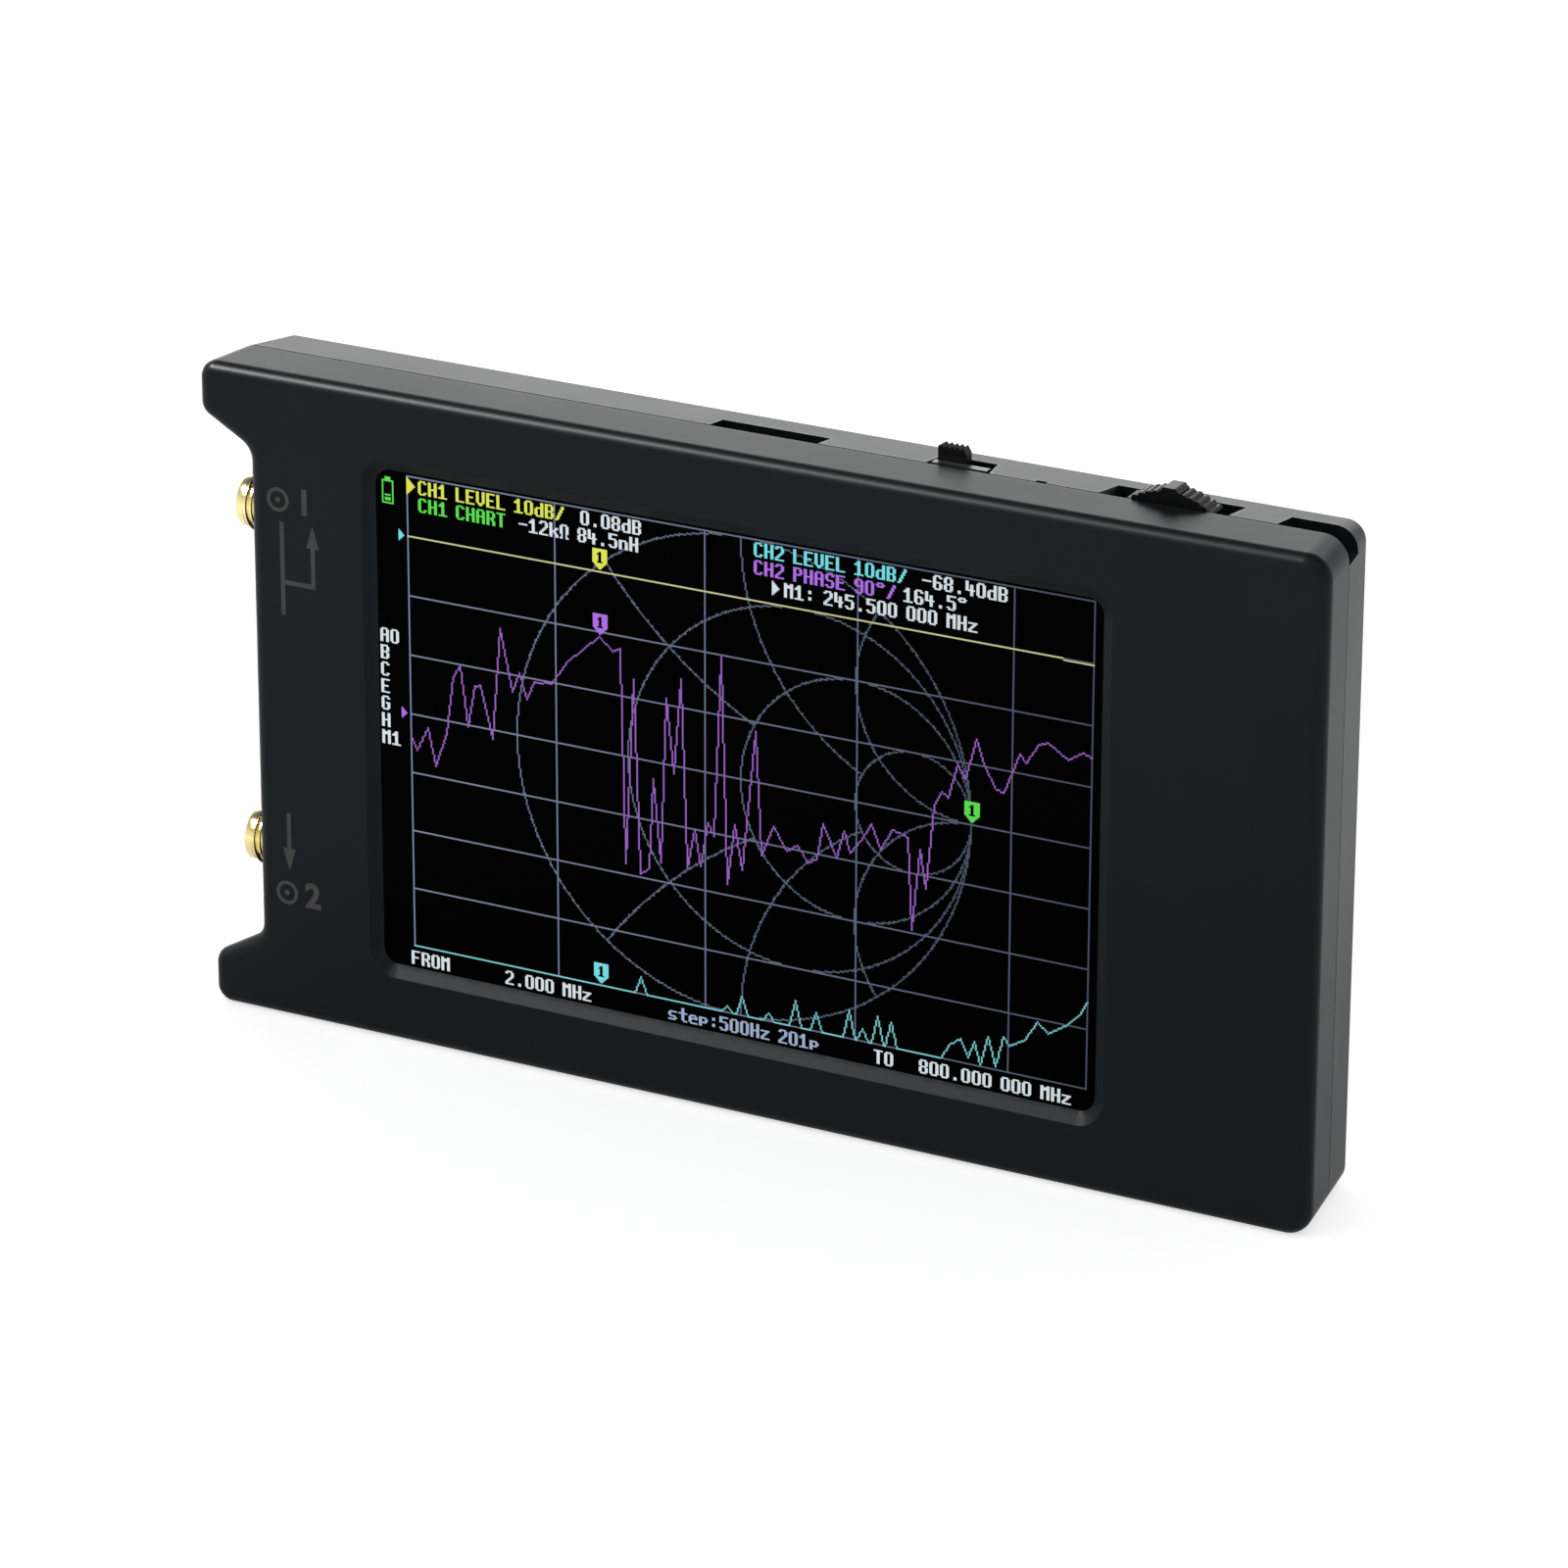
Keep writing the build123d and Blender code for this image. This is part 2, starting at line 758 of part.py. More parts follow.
def add_card_socket():
    """Memory card socket at the top edge: moulded base and sheet-metal cover."""
    left = card_x - card_socket_width / 2
    right = card_x + card_socket_width / 2
    high = board_high_z - card_socket_setback
    low = high - card_socket_length
    base_top = board_back_y + card_base_height
    cover_top = board_back_y + card_socket_height
    base = block(left, right, board_back_y, base_top, low, high)
    for x0 in (left, right - card_rail):
        base += block(x0, x0 + card_rail, base_top, cover_top - card_cover_sheet, low, high)
    base += block(left, right, base_top, cover_top - card_cover_sheet, low, low + card_rail)
    nodes["card_socket_base"] = base
    cover = block(left, right, cover_top - card_cover_sheet, cover_top, low, high)
    for x0 in (left - card_cover_sheet, right):
        cover += block(x0, x0 + card_cover_sheet, board_back_y, cover_top, low, high)
    nodes["card_socket_cover"] = cover


# ---------------------------------------------------------------- power switch


def add_power_switch():
    """Slide switch: the frame with its lip in the slot, and the ridged knob that slides behind the lip."""
    centre = (knob_start + knob_end + knob_travel) / 2
    left = centre - power_body_width / 2
    right = centre + power_body_width / 2
    high = board_high_z - edge_setback
    low = high - power_body_height
    half_knob = knob_thickness / 2
    half_foot = half_knob + power_foot_extra
    back = knob_y + half_foot + running_gap + power_body_wall
    body = block(left, right, board_back_y, back, low, high)
    reach_left = knob_start - running_gap
    reach_right = knob_end + knob_travel + running_gap
    floor = low + power_body_floor
    ceiling = high - power_body_lid
    body -= block(reach_left, reach_right, knob_y - half_foot - running_gap, knob_y + half_foot + running_gap,
                  floor, ceiling)
    body -= block(reach_left, reach_right, knob_y - half_knob - running_gap, knob_y + half_knob + running_gap,
                  floor, high + 1)
    lip_back = knob_y - half_knob - running_gap
    lean = power_slot_slant * (lip_back - part_y) / power_slot_depth
    lip_left = power_slot_left + power_lip_gap
    lip_right = power_slot_right - lean - power_lip_gap
    lip_top = case_height - power_lip_drop
    lip = block(lip_left, lip_right, part_y + power_lip_front, lip_back, ceiling, lip_top)
    nodes["power_switch_body"] = body + lip
    foot = block(knob_start, knob_end, knob_y - half_foot, knob_y + half_foot, floor + running_gap,
                 ceiling - running_gap)
    top = case_height + knob_rise
    first = knob_start + knob_left_shoulder
    pitch = (knob_end - knob_right_shoulder - first) / (knob_ridges - 1)
    points = [(knob_end, floor + running_gap), (knob_start, floor + running_gap)]
    points += [(knob_start, top - knob_left_drop), (first, top)]
    for ridge in range(1, knob_ridges):
        peak = first + ridge * pitch
        points += [(peak - pitch / 2, top - knob_ridge_height), (peak, top)]
    points.append((knob_end, top - knob_right_drop))
    nodes["power_knob"] = foot + plate(Polygon(*points, align=None), knob_y - half_knob, knob_y + half_knob)


# ---------------------------------------------------------------- thumb lever switch

pivot_z = case_height + lever_rise - lever_radius
lever_y0 = part_y + lever_front_gap
lever_y1 = lever_y0 + lever_thickness
lever_mid_y = (lever_y0 + lever_y1) / 2


def polar(radius, degrees_from_up):
    """A point in x and z round the lever's pivot."""
    angle = radians(degrees_from_up)
    return (lever_x + radius * sin(angle), pivot_z + radius * cos(angle))


def lever_profile():
    """Outline of the lever: arc of rounded ribs, flat raised nub, and straight flanks towards the hub."""
    nub_half = nub_width / 2
    nub_angle = degrees(nub_half / lever_radius) + nub_margin_angle
    rib_span = (lever_half_angle - nub_angle) / ribs_per_side
    valley = lever_radius - rib_depth
    ribs = []
    for rib in range(ribs_per_side):
        start = lever_half_angle - rib * rib_span
        for share, rise in rib_shape:
            ribs.append((valley + rise * rib_depth, start - share * rib_span))
    top = pivot_z + lever_radius + nub_height
    points = [polar(web_radius, -lever_half_angle), polar(valley, -lever_half_angle)]
    points += [polar(radius, -angle) for radius, angle in ribs]
    rounded = nub_round * (1 - sin(radians(45)))
    nub = [(-nub_half - nub_slope, -nub_step), (-nub_half, -nub_round),
           (-nub_half + rounded, -rounded), (-nub_half + nub_round, 0)]
    points += [(lever_x + x, top + z) for x, z in nub]
    points += [(lever_x - x, top + z) for x, z in reversed(nub)]
    points += [polar(radius, angle) for radius, angle in reversed(ribs)]
    points += [polar(valley, lever_half_angle), polar(web_radius, lever_half_angle)]
    return Polygon(*points, align=None)


def add_thumb_lever():
    """Thumb lever on its pressing carriage, in a guide with a snap dome under it."""
    front = lever_y0 - running_gap
    back = lever_y1 + running_gap
    hub_y0 = lever_mid_y - hub_thickness / 2
    hub_y1 = lever_mid_y + hub_thickness / 2
    lever = plate(lever_profile(), lever_y0, lever_y1) - peg(lever_x, pivot_z, web_radius, front, back)
    web_end = web_radius + web_overlap
    corners = [(lever_x, pivot_z), polar(web_end, -web_half_angle), polar(web_end, web_half_angle)]
    web = Polygon(*corners, align=None)
    lever += plate(web, hub_y0, hub_y1) + peg(lever_x, pivot_z, hub_radius, hub_y0, hub_y1)
    nodes["jog_lever"] = lever - peg(lever_x, pivot_z, pivot_radius + pivot_clearance, front, back)

    block_top = pivot_z - hub_radius - hub_gap
    block_low = block_top - carriage_height
    half = carriage_width / 2
    carriage = block(lever_x - half, lever_x + half, lever_y0, lever_y1, block_low, block_top)
    for y0, y1 in ((lever_y0, hub_y0 - running_gap), (hub_y1 + running_gap, lever_y1)):
        carriage += peg(lever_x, pivot_z, hub_radius, y0, y1)
        carriage += block(lever_x - hub_radius, lever_x + hub_radius, y0, y1, block_low, pivot_z)
    carriage += peg(lever_x, pivot_z, pivot_radius, lever_y0, lever_y1)
    nodes["jog_carriage"] = carriage

    dome_z = block_low - press_travel - dome_gap
    high = board_high_z - jog_body_setback
    low = dome_z - jog_body_floor
    inner = jog_body_half - jog_body_wall
    guide = half + running_gap
    body = block(lever_x - jog_body_half, lever_x + jog_body_half, board_back_y, back + jog_plate, low, high)
    body -= block(lever_x - inner, lever_x + inner, front, back, block_top - press_travel, high + 1)
    body -= block(lever_x - guide, lever_x + guide, front, back, dome_z, high)
    nodes["jog_switch_body"] = body

    seated = (Align.CENTER, Align.CENTER, Align.MIN)
    dome = Pos(lever_x, lever_mid_y, dome_z) * Cylinder(dome_radius, dome_base, align=seated)
    cap = Cone(dome_shoulder, dome_tip, dome_height - dome_base, align=seated)
    nodes["jog_dome"] = dome + Pos(lever_x, lever_mid_y, dome_z + dome_base) * cap


# ---------------------------------------------------------------- electronics


def add_chips():
    """Shield cans, chips, crystal, inductor, LEDs and the small passives."""
    can_x = board_left_x + shield_edge + shield_length / 2
    for index, z in enumerate(port_zs, start=1):
        nodes[f"shield_can_{index}"] = shield_can(can_x, z)
    high_z, low_z = port_zs
    mixers = ((can_x - mixer_pitch / 2, high_z), (can_x + mixer_pitch / 2, high_z), (can_x, low_z))
    nodes["mixer_chips"] = Compound(children=[chip(x, z, mixer_package) for x, z in mixers])
    placed = {
        "clock_chip": (clock_place, clock_package),
        "reference_crystal": (crystal_place, crystal_package),
        "codec_chip": (codec_place, codec_package),
        "microcontroller": (controller_place, controller_package),
    }
    for name, ((across, up), package) in placed.items():
        nodes[name] = chip(can_x + across, mid_z + up, package)
    charger_x = usb_front_x + usb_length + charger_reach
    nodes["charger_chip"] = chip(charger_x, mid_z, charger_package)
    nodes["regulator_chip"] = chip(charger_x, mid_z + power_pitch, regulator_package)
    nodes["power_inductor"] = chip(charger_x, mid_z - power_pitch, inductor_package)
    resistors = []
    capacitors = []
    for column in range(passive_columns):
        for row in range(passive_rows):
            x = charger_x + passive_reach + column * passive_pitch_x
            z = mid_z + (row - (passive_rows - 1) / 2) * passive_pitch_z
            if (row + column) % 2:
                resistors.append(chip(x, z, resistor_package))
            else:
                capacitors.append(chip(x, z, capacitor_package))
    nodes["chip_resistors"] = Compound(children=resistors)
    nodes["chip_capacitors"] = Compound(children=capacitors)
    leds = []
    for index in range(2):
        left = led_x + index * led_pitch - led_width / 2
        leds.append(block(left, left + led_width, board_back_y, board_back_y + led_thickness,
                          board_high_z - led_height, board_high_z))
    nodes["status_leds"] = Compound(children=leds)


def shield_can(x, z):
    """A folded sheet-metal can, open towards the board."""
    half_length_x = shield_length / 2
    half_width_z = shield_width / 2
    top = board_back_y + shield_height
    can = block(x - half_length_x, x + half_length_x, board_back_y, top, z - half_width_z, z + half_width_z)
    return can - block(
        x - half_length_x + shield_sheet,
        x + half_length_x - shield_sheet,
        board_back_y - 1,
        top - shield_sheet,
        z - half_width_z + shield_sheet,
        z + half_width_z - shield_sheet,
    )


# ---------------------------------------------------------------- battery


def add_battery():
    """Flat pouch cell on its tape, with two leads to a plug in the board socket."""
    right = battery_left + battery_length
    high = battery_low + battery_width
    tape_back = board_back_y + tape_thickness
    nodes["battery_tape"] = block(battery_left + tape_inset, right - tape_inset, board_back_y, tape_back,
                                  battery_low + tape_inset, high - tape_inset)
    cell = block(battery_left, right, tape_back, tape_back + battery_thickness, battery_low, high)
    nodes["battery_cell"] = fillet(cell.edges().filter_by(Axis.Z), battery_radius)

    socket_x = battery_left - socket_gap - socket_width / 2
    top = board_back_y + socket_height
    socket_high = battery_low + socket_length
    half_mouth = socket_width / 2 - socket_wall
    socket = block(socket_x - socket_width / 2, socket_x + socket_width / 2, board_back_y, top, battery_low,
                   socket_high)
    mouth_y0 = board_back_y + socket_wall
    mouth_y1 = top - socket_wall
    nodes["battery_socket"] = socket - block(socket_x - half_mouth, socket_x + half_mouth, mouth_y0, mouth_y1,
                                             battery_low + socket_wall, socket_high + 1)
    half_plug = half_mouth - plug_gap
    plug_low = battery_low + socket_wall + plug_gap
    plug_high = plug_low + plug_length
    nodes["battery_plug"] = block(socket_x - half_plug, socket_x + half_plug, mouth_y0 + plug_gap,
                                  mouth_y1 - plug_gap, plug_low, plug_high)

    lead_y = board_back_y + socket_height / 2
    for colour, side, bend in (("red", 1, lead_bend), ("black", -1, lead_bend + lead_pitch)):
        x = socket_x + side * lead_pitch / 2
        turn_z = plug_high + lead_climb + bend
        path = FilletPolyline((x, plug_high), (x, turn_z), (battery_left, turn_z), radius=bend)
        start = Plane(origin=(x, lead_y, plug_high), z_dir=(0, 0, 1))
        nodes[f"battery_lead_{colour}"] = sweep(start * Circle(lead_wire_diameter / 2),
                                                path=depth_plane(lead_y) * path)


# ---------------------------------------------------------------- assembly

nodes["front_shell"] = make_front_shell()
nodes["back_shell"] = make_back_shell()
nodes["case_screws"] = Compound(children=[make_screw(x, z) for x, z in screw_places])
add_display()
add_board()
for number, port_z in enumerate(port_zs, start=1):
    add_port(number, port_z)
add_usb()
add_card_socket()
add_power_switch()
add_thumb_lever()
add_chips()
add_battery()

os.makedirs("parts", exist_ok=True)
for name, shape in nodes.items():
    export_step(shape, f"parts/{name}.step")
    print(name, round(shape.volume, 2))
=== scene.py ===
"""Looks of a handheld two-port antenna analyzer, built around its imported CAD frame.

Lengths are in metres in the part's own frame: X runs along the case, Y from its face to its back,
and Z up from its long lower edge. Sizes that read better in millimetres are written with MM.
"""

from __future__ import annotations

import logging
import math
from dataclasses import dataclass, field
from enum import Enum
from typing import Iterable

import bmesh
import bpy
from mathutils import Matrix, Vector

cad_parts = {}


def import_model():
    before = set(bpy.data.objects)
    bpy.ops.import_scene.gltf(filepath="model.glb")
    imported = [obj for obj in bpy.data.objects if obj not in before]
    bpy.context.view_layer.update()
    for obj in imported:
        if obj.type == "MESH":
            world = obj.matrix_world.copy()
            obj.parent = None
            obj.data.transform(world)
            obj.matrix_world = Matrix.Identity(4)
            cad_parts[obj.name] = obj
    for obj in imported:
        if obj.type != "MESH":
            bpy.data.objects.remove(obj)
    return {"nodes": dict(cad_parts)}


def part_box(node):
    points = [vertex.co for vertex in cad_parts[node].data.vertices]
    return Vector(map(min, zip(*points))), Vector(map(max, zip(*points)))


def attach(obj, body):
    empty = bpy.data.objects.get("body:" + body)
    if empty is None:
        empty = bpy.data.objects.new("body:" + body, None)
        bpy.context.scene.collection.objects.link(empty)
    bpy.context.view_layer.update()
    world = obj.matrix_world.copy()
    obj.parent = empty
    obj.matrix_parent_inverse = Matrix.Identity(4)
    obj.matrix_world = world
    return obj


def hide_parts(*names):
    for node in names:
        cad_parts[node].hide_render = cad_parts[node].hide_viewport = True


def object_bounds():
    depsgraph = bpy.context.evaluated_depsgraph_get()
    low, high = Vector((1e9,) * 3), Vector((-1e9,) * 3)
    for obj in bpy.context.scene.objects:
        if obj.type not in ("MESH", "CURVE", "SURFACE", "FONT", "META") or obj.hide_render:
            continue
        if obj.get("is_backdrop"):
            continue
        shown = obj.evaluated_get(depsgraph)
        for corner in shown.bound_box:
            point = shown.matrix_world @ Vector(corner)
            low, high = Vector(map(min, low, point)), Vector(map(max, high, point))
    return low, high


LOG = logging.getLogger("analyzer")
MM = 0.001
SHARP_ANGLE = math.radians(32)
UPRIGHT = Matrix.Rotation(math.radians(90), 4, "X")

Colour = tuple[float, float, float, float]


def display_colour(red: int, green: int, blue: int) -> Colour:
    """Turns 0-255 display values into a linear colour.

    Args:
        red: The red display value.
        green: The green display value.
        blue: The blue display value.

    Returns:
        The linear colour, opaque.
    """
    linear = []
    for value in (red, green, blue):
        share = value / 255
        low = share / 12.92
        high = ((share + 0.055) / 1.055) ** 2.4
        linear.append(low if share <= 0.04045 else high)
    return (linear[0], linear[1], linear[2], 1.0)


def dimmer(colour: Colour, share: float) -> Colour:
    """A colour with only a share of its light."""
    return (*(share * value for value in colour[:3]), 1.0)


def placed(name: str, data: bpy.types.ID) -> bpy.types.Object:
    """Makes an object for a mesh, curve, lamp or camera, and links it to the scene."""
    thing = bpy.data.objects.new(name, data)
    bpy.context.scene.collection.objects.link(thing)
    return thing


# ---------------------------------------------------------------- node trees


class Graph:
    """A shader node tree with short ways to add and join its nodes."""

    def __init__(self, tree: bpy.types.NodeTree) -> None:
        """Wraps a node tree.

        Args:
            tree: The tree that the nodes are added to.
        """
        self.tree = tree

    def add(self, kind: str, inputs: dict | None = None, **properties) -> bpy.types.Node:
        """Adds a node.

        Args:
            kind: The node's type without its ShaderNode prefix.
            inputs: Values or sockets for its inputs, by name or by index.
            **properties: The node's own settings.

        Returns:
            The new node.
        """
        node = self.tree.nodes.new(f"ShaderNode{kind}")
        for name, value in properties.items():
            setattr(node, name, value)
        for key, value in (inputs or {}).items():
            self.feed(node.inputs[key], value)
        return node

    def feed(self, socket: bpy.types.NodeSocket, value) -> None:
        """Links a socket to an output, or sets its plain value."""
        if isinstance(value, bpy.types.NodeSocket):
            self.tree.links.new(value, socket)
        else:
            socket.default_value = value

    def sum(self, operation: str, first, second=0.0) -> bpy.types.NodeSocket:
        """The result of a Math node on two values or sockets."""
        return self.add("Math", {0: first, 1: second}, operation=operation).outputs[0]

    def remap(self, value, low: float, high: float, to_low=0.0, to_high=1.0) -> bpy.types.NodeSocket:
        """A value's range mapped onto another range, clamped."""
        limits = {"Value": value, "From Min": low, "From Max": high, "To Min": to_low, "To Max": to_high}
        return self.add("MapRange", limits).outputs[0]

    def blend(self, factor, first, second) -> bpy.types.NodeSocket:
        """Two colours mixed by a factor."""
        return self.add("Mix", {0: factor, 6: first, 7: second}, data_type="RGBA").outputs[2]

    def noise(self, vector, scale, detail: float = 2.0) -> bpy.types.NodeSocket:
        """The grey value of a noise texture."""
        return self.add("TexNoise", {"Vector": vector, "Scale": scale, "Detail": detail}).outputs[0]

    def stretched(self, vector, scale) -> bpy.types.NodeSocket:
        """A vector multiplied axis by axis."""
        return self.add("VectorMath", {0: vector, 1: scale}, operation="MULTIPLY").outputs[0]


class Effects:
    """The node groups that several finishes share, each built once."""

    def __init__(self) -> None:
        """Builds every group."""
        self.grain = self._grain()
        self.wear_and_sheen = self._wear_and_sheen()
        self.lines = self._lines()
        self.specks = self._specks()

    @staticmethod
    def _start(name: str, inputs: dict[str, float | None], outputs: Iterable[str]) -> tuple:
        """Starts a group with its sockets.

        Args:
            name: The group's name.
            inputs: Each float input with its value; a value of None makes a vector input.
            outputs: The names of the float outputs.

        Returns:
            The group's graph, its inputs' sockets by name, and its output node.
        """
        tree = bpy.data.node_groups.new(name, "ShaderNodeTree")
        for label, value in inputs.items():
            kind = "NodeSocketVector" if value is None else "NodeSocketFloat"
            socket = tree.interface.new_socket(name=label, in_out="INPUT", socket_type=kind)
            if value is not None:
                socket.default_value = value
        for label in outputs:
            tree.interface.new_socket(name=label, in_out="OUTPUT", socket_type="NodeSocketFloat")
        source = tree.nodes.new("NodeGroupInput")
        target = tree.nodes.new("NodeGroupOutput")
        return Graph(tree), source.outputs, target.inputs

    def _grain(self) -> bpy.types.NodeTree:
        """A moulded or sprayed skin: fine grain, with a slow change of tone and gloss.

        Returns:
            The node group.
        """
        inputs = {
            "Vector": None,
            "Grain Scale": 4000.0,
            "Broad Scale": 40.0,
            "Gloss Low": 0.3,
            "Gloss High": 0.4,
        }
        graph, given, out = self._start("Moulded grain", inputs, ("Height", "Tone", "Roughness"))
        fine = graph.noise(given["Vector"], given["Grain Scale"], 2.0)
        broad = graph.noise(given["Vector"], given["Broad Scale"], 4.0)
        tone = graph.remap(broad, 0.3, 0.7)
        share = graph.sum("ADD", graph.sum("MULTIPLY", fine, 0.5), graph.sum("MULTIPLY", tone, 0.5))
        limits = {"Value": share, "To Min": given["Gloss Low"], "To Max": given["Gloss High"]}
        gloss = graph.add("MapRange", limits).outputs[0]
        graph.feed(out["Height"], fine)
        graph.feed(out["Tone"], tone)
        graph.feed(out["Roughness"], gloss)
        return graph.tree

    def _wear_and_sheen(self) -> bpy.types.NodeTree:
        """Edges rubbed by handling, found where a rounded normal leaves the real one; on the case the mask
        also places a painted edge highlight.

        Returns:
            The node group.
        """
        inputs = {"Vector": None, "Radius": 0.0003, "Amount": 0.5, "Break Scale": 700.0}
        graph, given, out = self._start("Edge wear", inputs, ("Mask",))
        rounded = graph.add("Bevel", {"Radius": given["Radius"]}, samples=4)
        real = graph.add("NewGeometry")
        sockets = {0: rounded.outputs[0], 1: real.outputs["Normal"]}
        match = graph.add("VectorMath", sockets, operation="DOT_PRODUCT").outputs["Value"]
        edge = graph.remap(match, 0.995, 0.80)
        patchy = graph.remap(graph.noise(given["Vector"], given["Break Scale"], 3.0), 0.35, 0.65, 0.4, 1.0)
        mask = graph.sum("MULTIPLY", graph.sum("MULTIPLY", edge, patchy), given["Amount"])
        graph.feed(out["Mask"], mask)
        return graph.tree

    def _lines(self) -> bpy.types.NodeTree:
        """Fine parallel tool or rolling marks, drawn out along the axes that Stretch makes small.

        Returns:
            The node group.
        """
        inputs = {"Vector": None, "Stretch": None, "Line Scale": 4000.0}
        graph, given, out = self._start("Tool marks", inputs, ("Height",))
        drawn = graph.stretched(given["Vector"], given["Stretch"])
        graph.feed(out["Height"], graph.noise(drawn, given["Line Scale"], 3.0))
        return graph.tree

    def _specks(self) -> bpy.types.NodeTree:
        """Scattered small specks, such as dust, filler or pores.

        Returns:
            The node group.
        """
        inputs = {"Vector": None, "Speck Scale": 1500.0, "Speck Size": 0.15}
        graph, given, out = self._start("Specks", inputs, ("Mask",))
        cells = graph.add("TexVoronoi", {"Vector": given["Vector"], "Scale": given["Speck Scale"]})
        near = graph.sum("SUBTRACT", given["Speck Size"], cells.outputs["Distance"])
        sharp = graph.remap(near, 0.0, 0.05)
        chosen = graph.remap(cells.outputs["Color"], 0.6, 0.62)
        graph.feed(out["Mask"], graph.sum("MULTIPLY", sharp, chosen))
        return graph.tree


# ---------------------------------------------------------------- finishes


@dataclass(frozen=True)
class Finish:
    """A finish that builds its own material from its plain values."""

    name: str

    def build(self, effects: Effects) -> bpy.types.Material:
        """Builds the material; each kind of finish has its own way."""
        raise NotImplementedError

    def start(self) -> tuple[bpy.types.Material, Graph, bpy.types.Node, bpy.types.NodeSocket]:
        """Makes an empty material with a Principled shader.

        Returns:
            The material, its graph, the Principled node, and the object coordinates.
        """
        material = bpy.data.materials.new(self.name)
        material.use_nodes = True
        graph = Graph(material.node_tree)
        graph.tree.nodes.clear()
        shader = graph.add("BsdfPrincipled")
        output = graph.add("OutputMaterial")
        graph.feed(output.inputs["Surface"], shader.outputs[0])
        place = graph.add("TexCoord").outputs["Object"]
        return material, graph, shader, place

    @staticmethod
    def group(graph: Graph, tree: bpy.types.NodeTree, inputs: dict) -> bpy.types.Node:
        """Places a shared node group in a material with this finish's own values."""
        node = graph.tree.nodes.new("ShaderNodeGroup")
        node.node_tree = tree
        for key, value in inputs.items():
            graph.feed(node.inputs[key], value)
        return node

    @staticmethod
    def bump(graph: Graph, shader: bpy.types.Node, height, strength: float, depth: float) -> None:
        """Feeds a height into the shader's normal."""
        inputs = {"Height": height, "Strength": strength, "Distance": depth}
        graph.feed(shader.inputs["Normal"], graph.add("Bump", inputs).outputs[0])


@dataclass(frozen=True)
class Skin(Finish):
    """What moulded and metal skins share: two near tones, and edges rubbed by handling, paler in colour at
    the edges, which on the case is partly a painted highlight.
    """

    tone_low: Colour
    tone_high: Colour
    # Edge colour: real wear, and on the case partly a painted highlight.
    worn_and_sheen: Colour
    gloss: tuple[float, float]
    broad_scale: float = field(default=40.0, kw_only=True)
    wear_radius: float = field(default=0.00025, kw_only=True)
    wear_amount: float = field(default=0.5, kw_only=True)

    def colour_in(
        self,
        graph: Graph,
        shader: bpy.types.Node,
        effects: Effects,
        place: bpy.types.NodeSocket,
        scale: float,
    ) -> tuple:
        """Feeds the shader's colour from the tones, paler at the rubbed edges: real wear, and on the case
        partly a painted highlight.

        Args:
            graph: The material's graph.
            shader: Its Principled node.
            effects: The shared node groups.
            place: The object coordinates.
            scale: The scale of the fine grain.

        Returns:
            The grain's outputs, and the mask of the rubbed edges, which also places the case's painted edge
            highlight.
        """
        values = {
            "Vector": place,
            "Grain Scale": scale,
            "Broad Scale": self.broad_scale,
            "Gloss Low": self.gloss[0],
            "Gloss High": self.gloss[1],
        }
        grain = self.group(graph, effects.grain, values).outputs
        values = {"Vector": place, "Radius": self.wear_radius, "Amount": self.wear_amount}
        mask = self.group(graph, effects.wear_and_sheen, values).outputs["Mask"]
        tone = graph.blend(grain["Tone"], self.tone_low, self.tone_high)
        # Paler colour at the rubbed edges: real wear, and on the case partly a painted highlight.
        graph.feed(shader.inputs["Base Color"], graph.blend(mask, tone, self.worn_and_sheen))
        return grain, mask


@dataclass(frozen=True)
class Moulded(Skin):
    """A moulded or painted skin: two near tones, fine grain, and edges polished by handling."""

    specular: float = 0.5
    grain_scale: float = 5000.0
    grain_depth: float = 0.00002
    grain_strength: float = 0.15
    wear_polish: float = 0.12

    def build(self, effects: Effects) -> bpy.types.Material:
        """Builds the material."""
        material, graph, shader, place = self.start()
        grain, mask = self.colour_in(graph, shader, effects, place, self.grain_scale)
        rubbed = graph.sum("MULTIPLY", mask, -self.wear_polish)
        graph.feed(shader.inputs["Roughness"], graph.sum("ADD", grain["Roughness"], rubbed))
        shader.inputs["Specular IOR Level"].default_value = self.specular
        self.bump(graph, shader, grain["Height"], self.grain_strength, self.grain_depth)
        return material


@dataclass(frozen=True)
class Metal(Skin):
    """A bare or plated metal with tool or rolling marks and rubbed edges."""

    stretch: tuple[float, float, float]
    line_scale: float = 4000.0
    line_strength: float = 0.08
    line_depth: float = 0.00001
    broad_scale: float = field(default=120.0, kw_only=True)
    wear_radius: float = field(default=0.0001, kw_only=True)
    wear_amount: float = field(default=0.4, kw_only=True)

    def build(self, effects: Effects) -> bpy.types.Material:
        """Builds the material."""
        material, graph, shader, place = self.start()
        grain, _ = self.colour_in(graph, shader, effects, place, self.line_scale)
        values = {"Vector": place, "Stretch": self.stretch, "Line Scale": self.line_scale}
        lines = self.group(graph, effects.lines, values)
        graph.feed(shader.inputs["Roughness"], grain["Roughness"])
        shader.inputs["Metallic"].default_value = 1.0
        self.bump(graph, shader, lines.outputs["Height"], self.line_strength, self.line_depth)
        return material


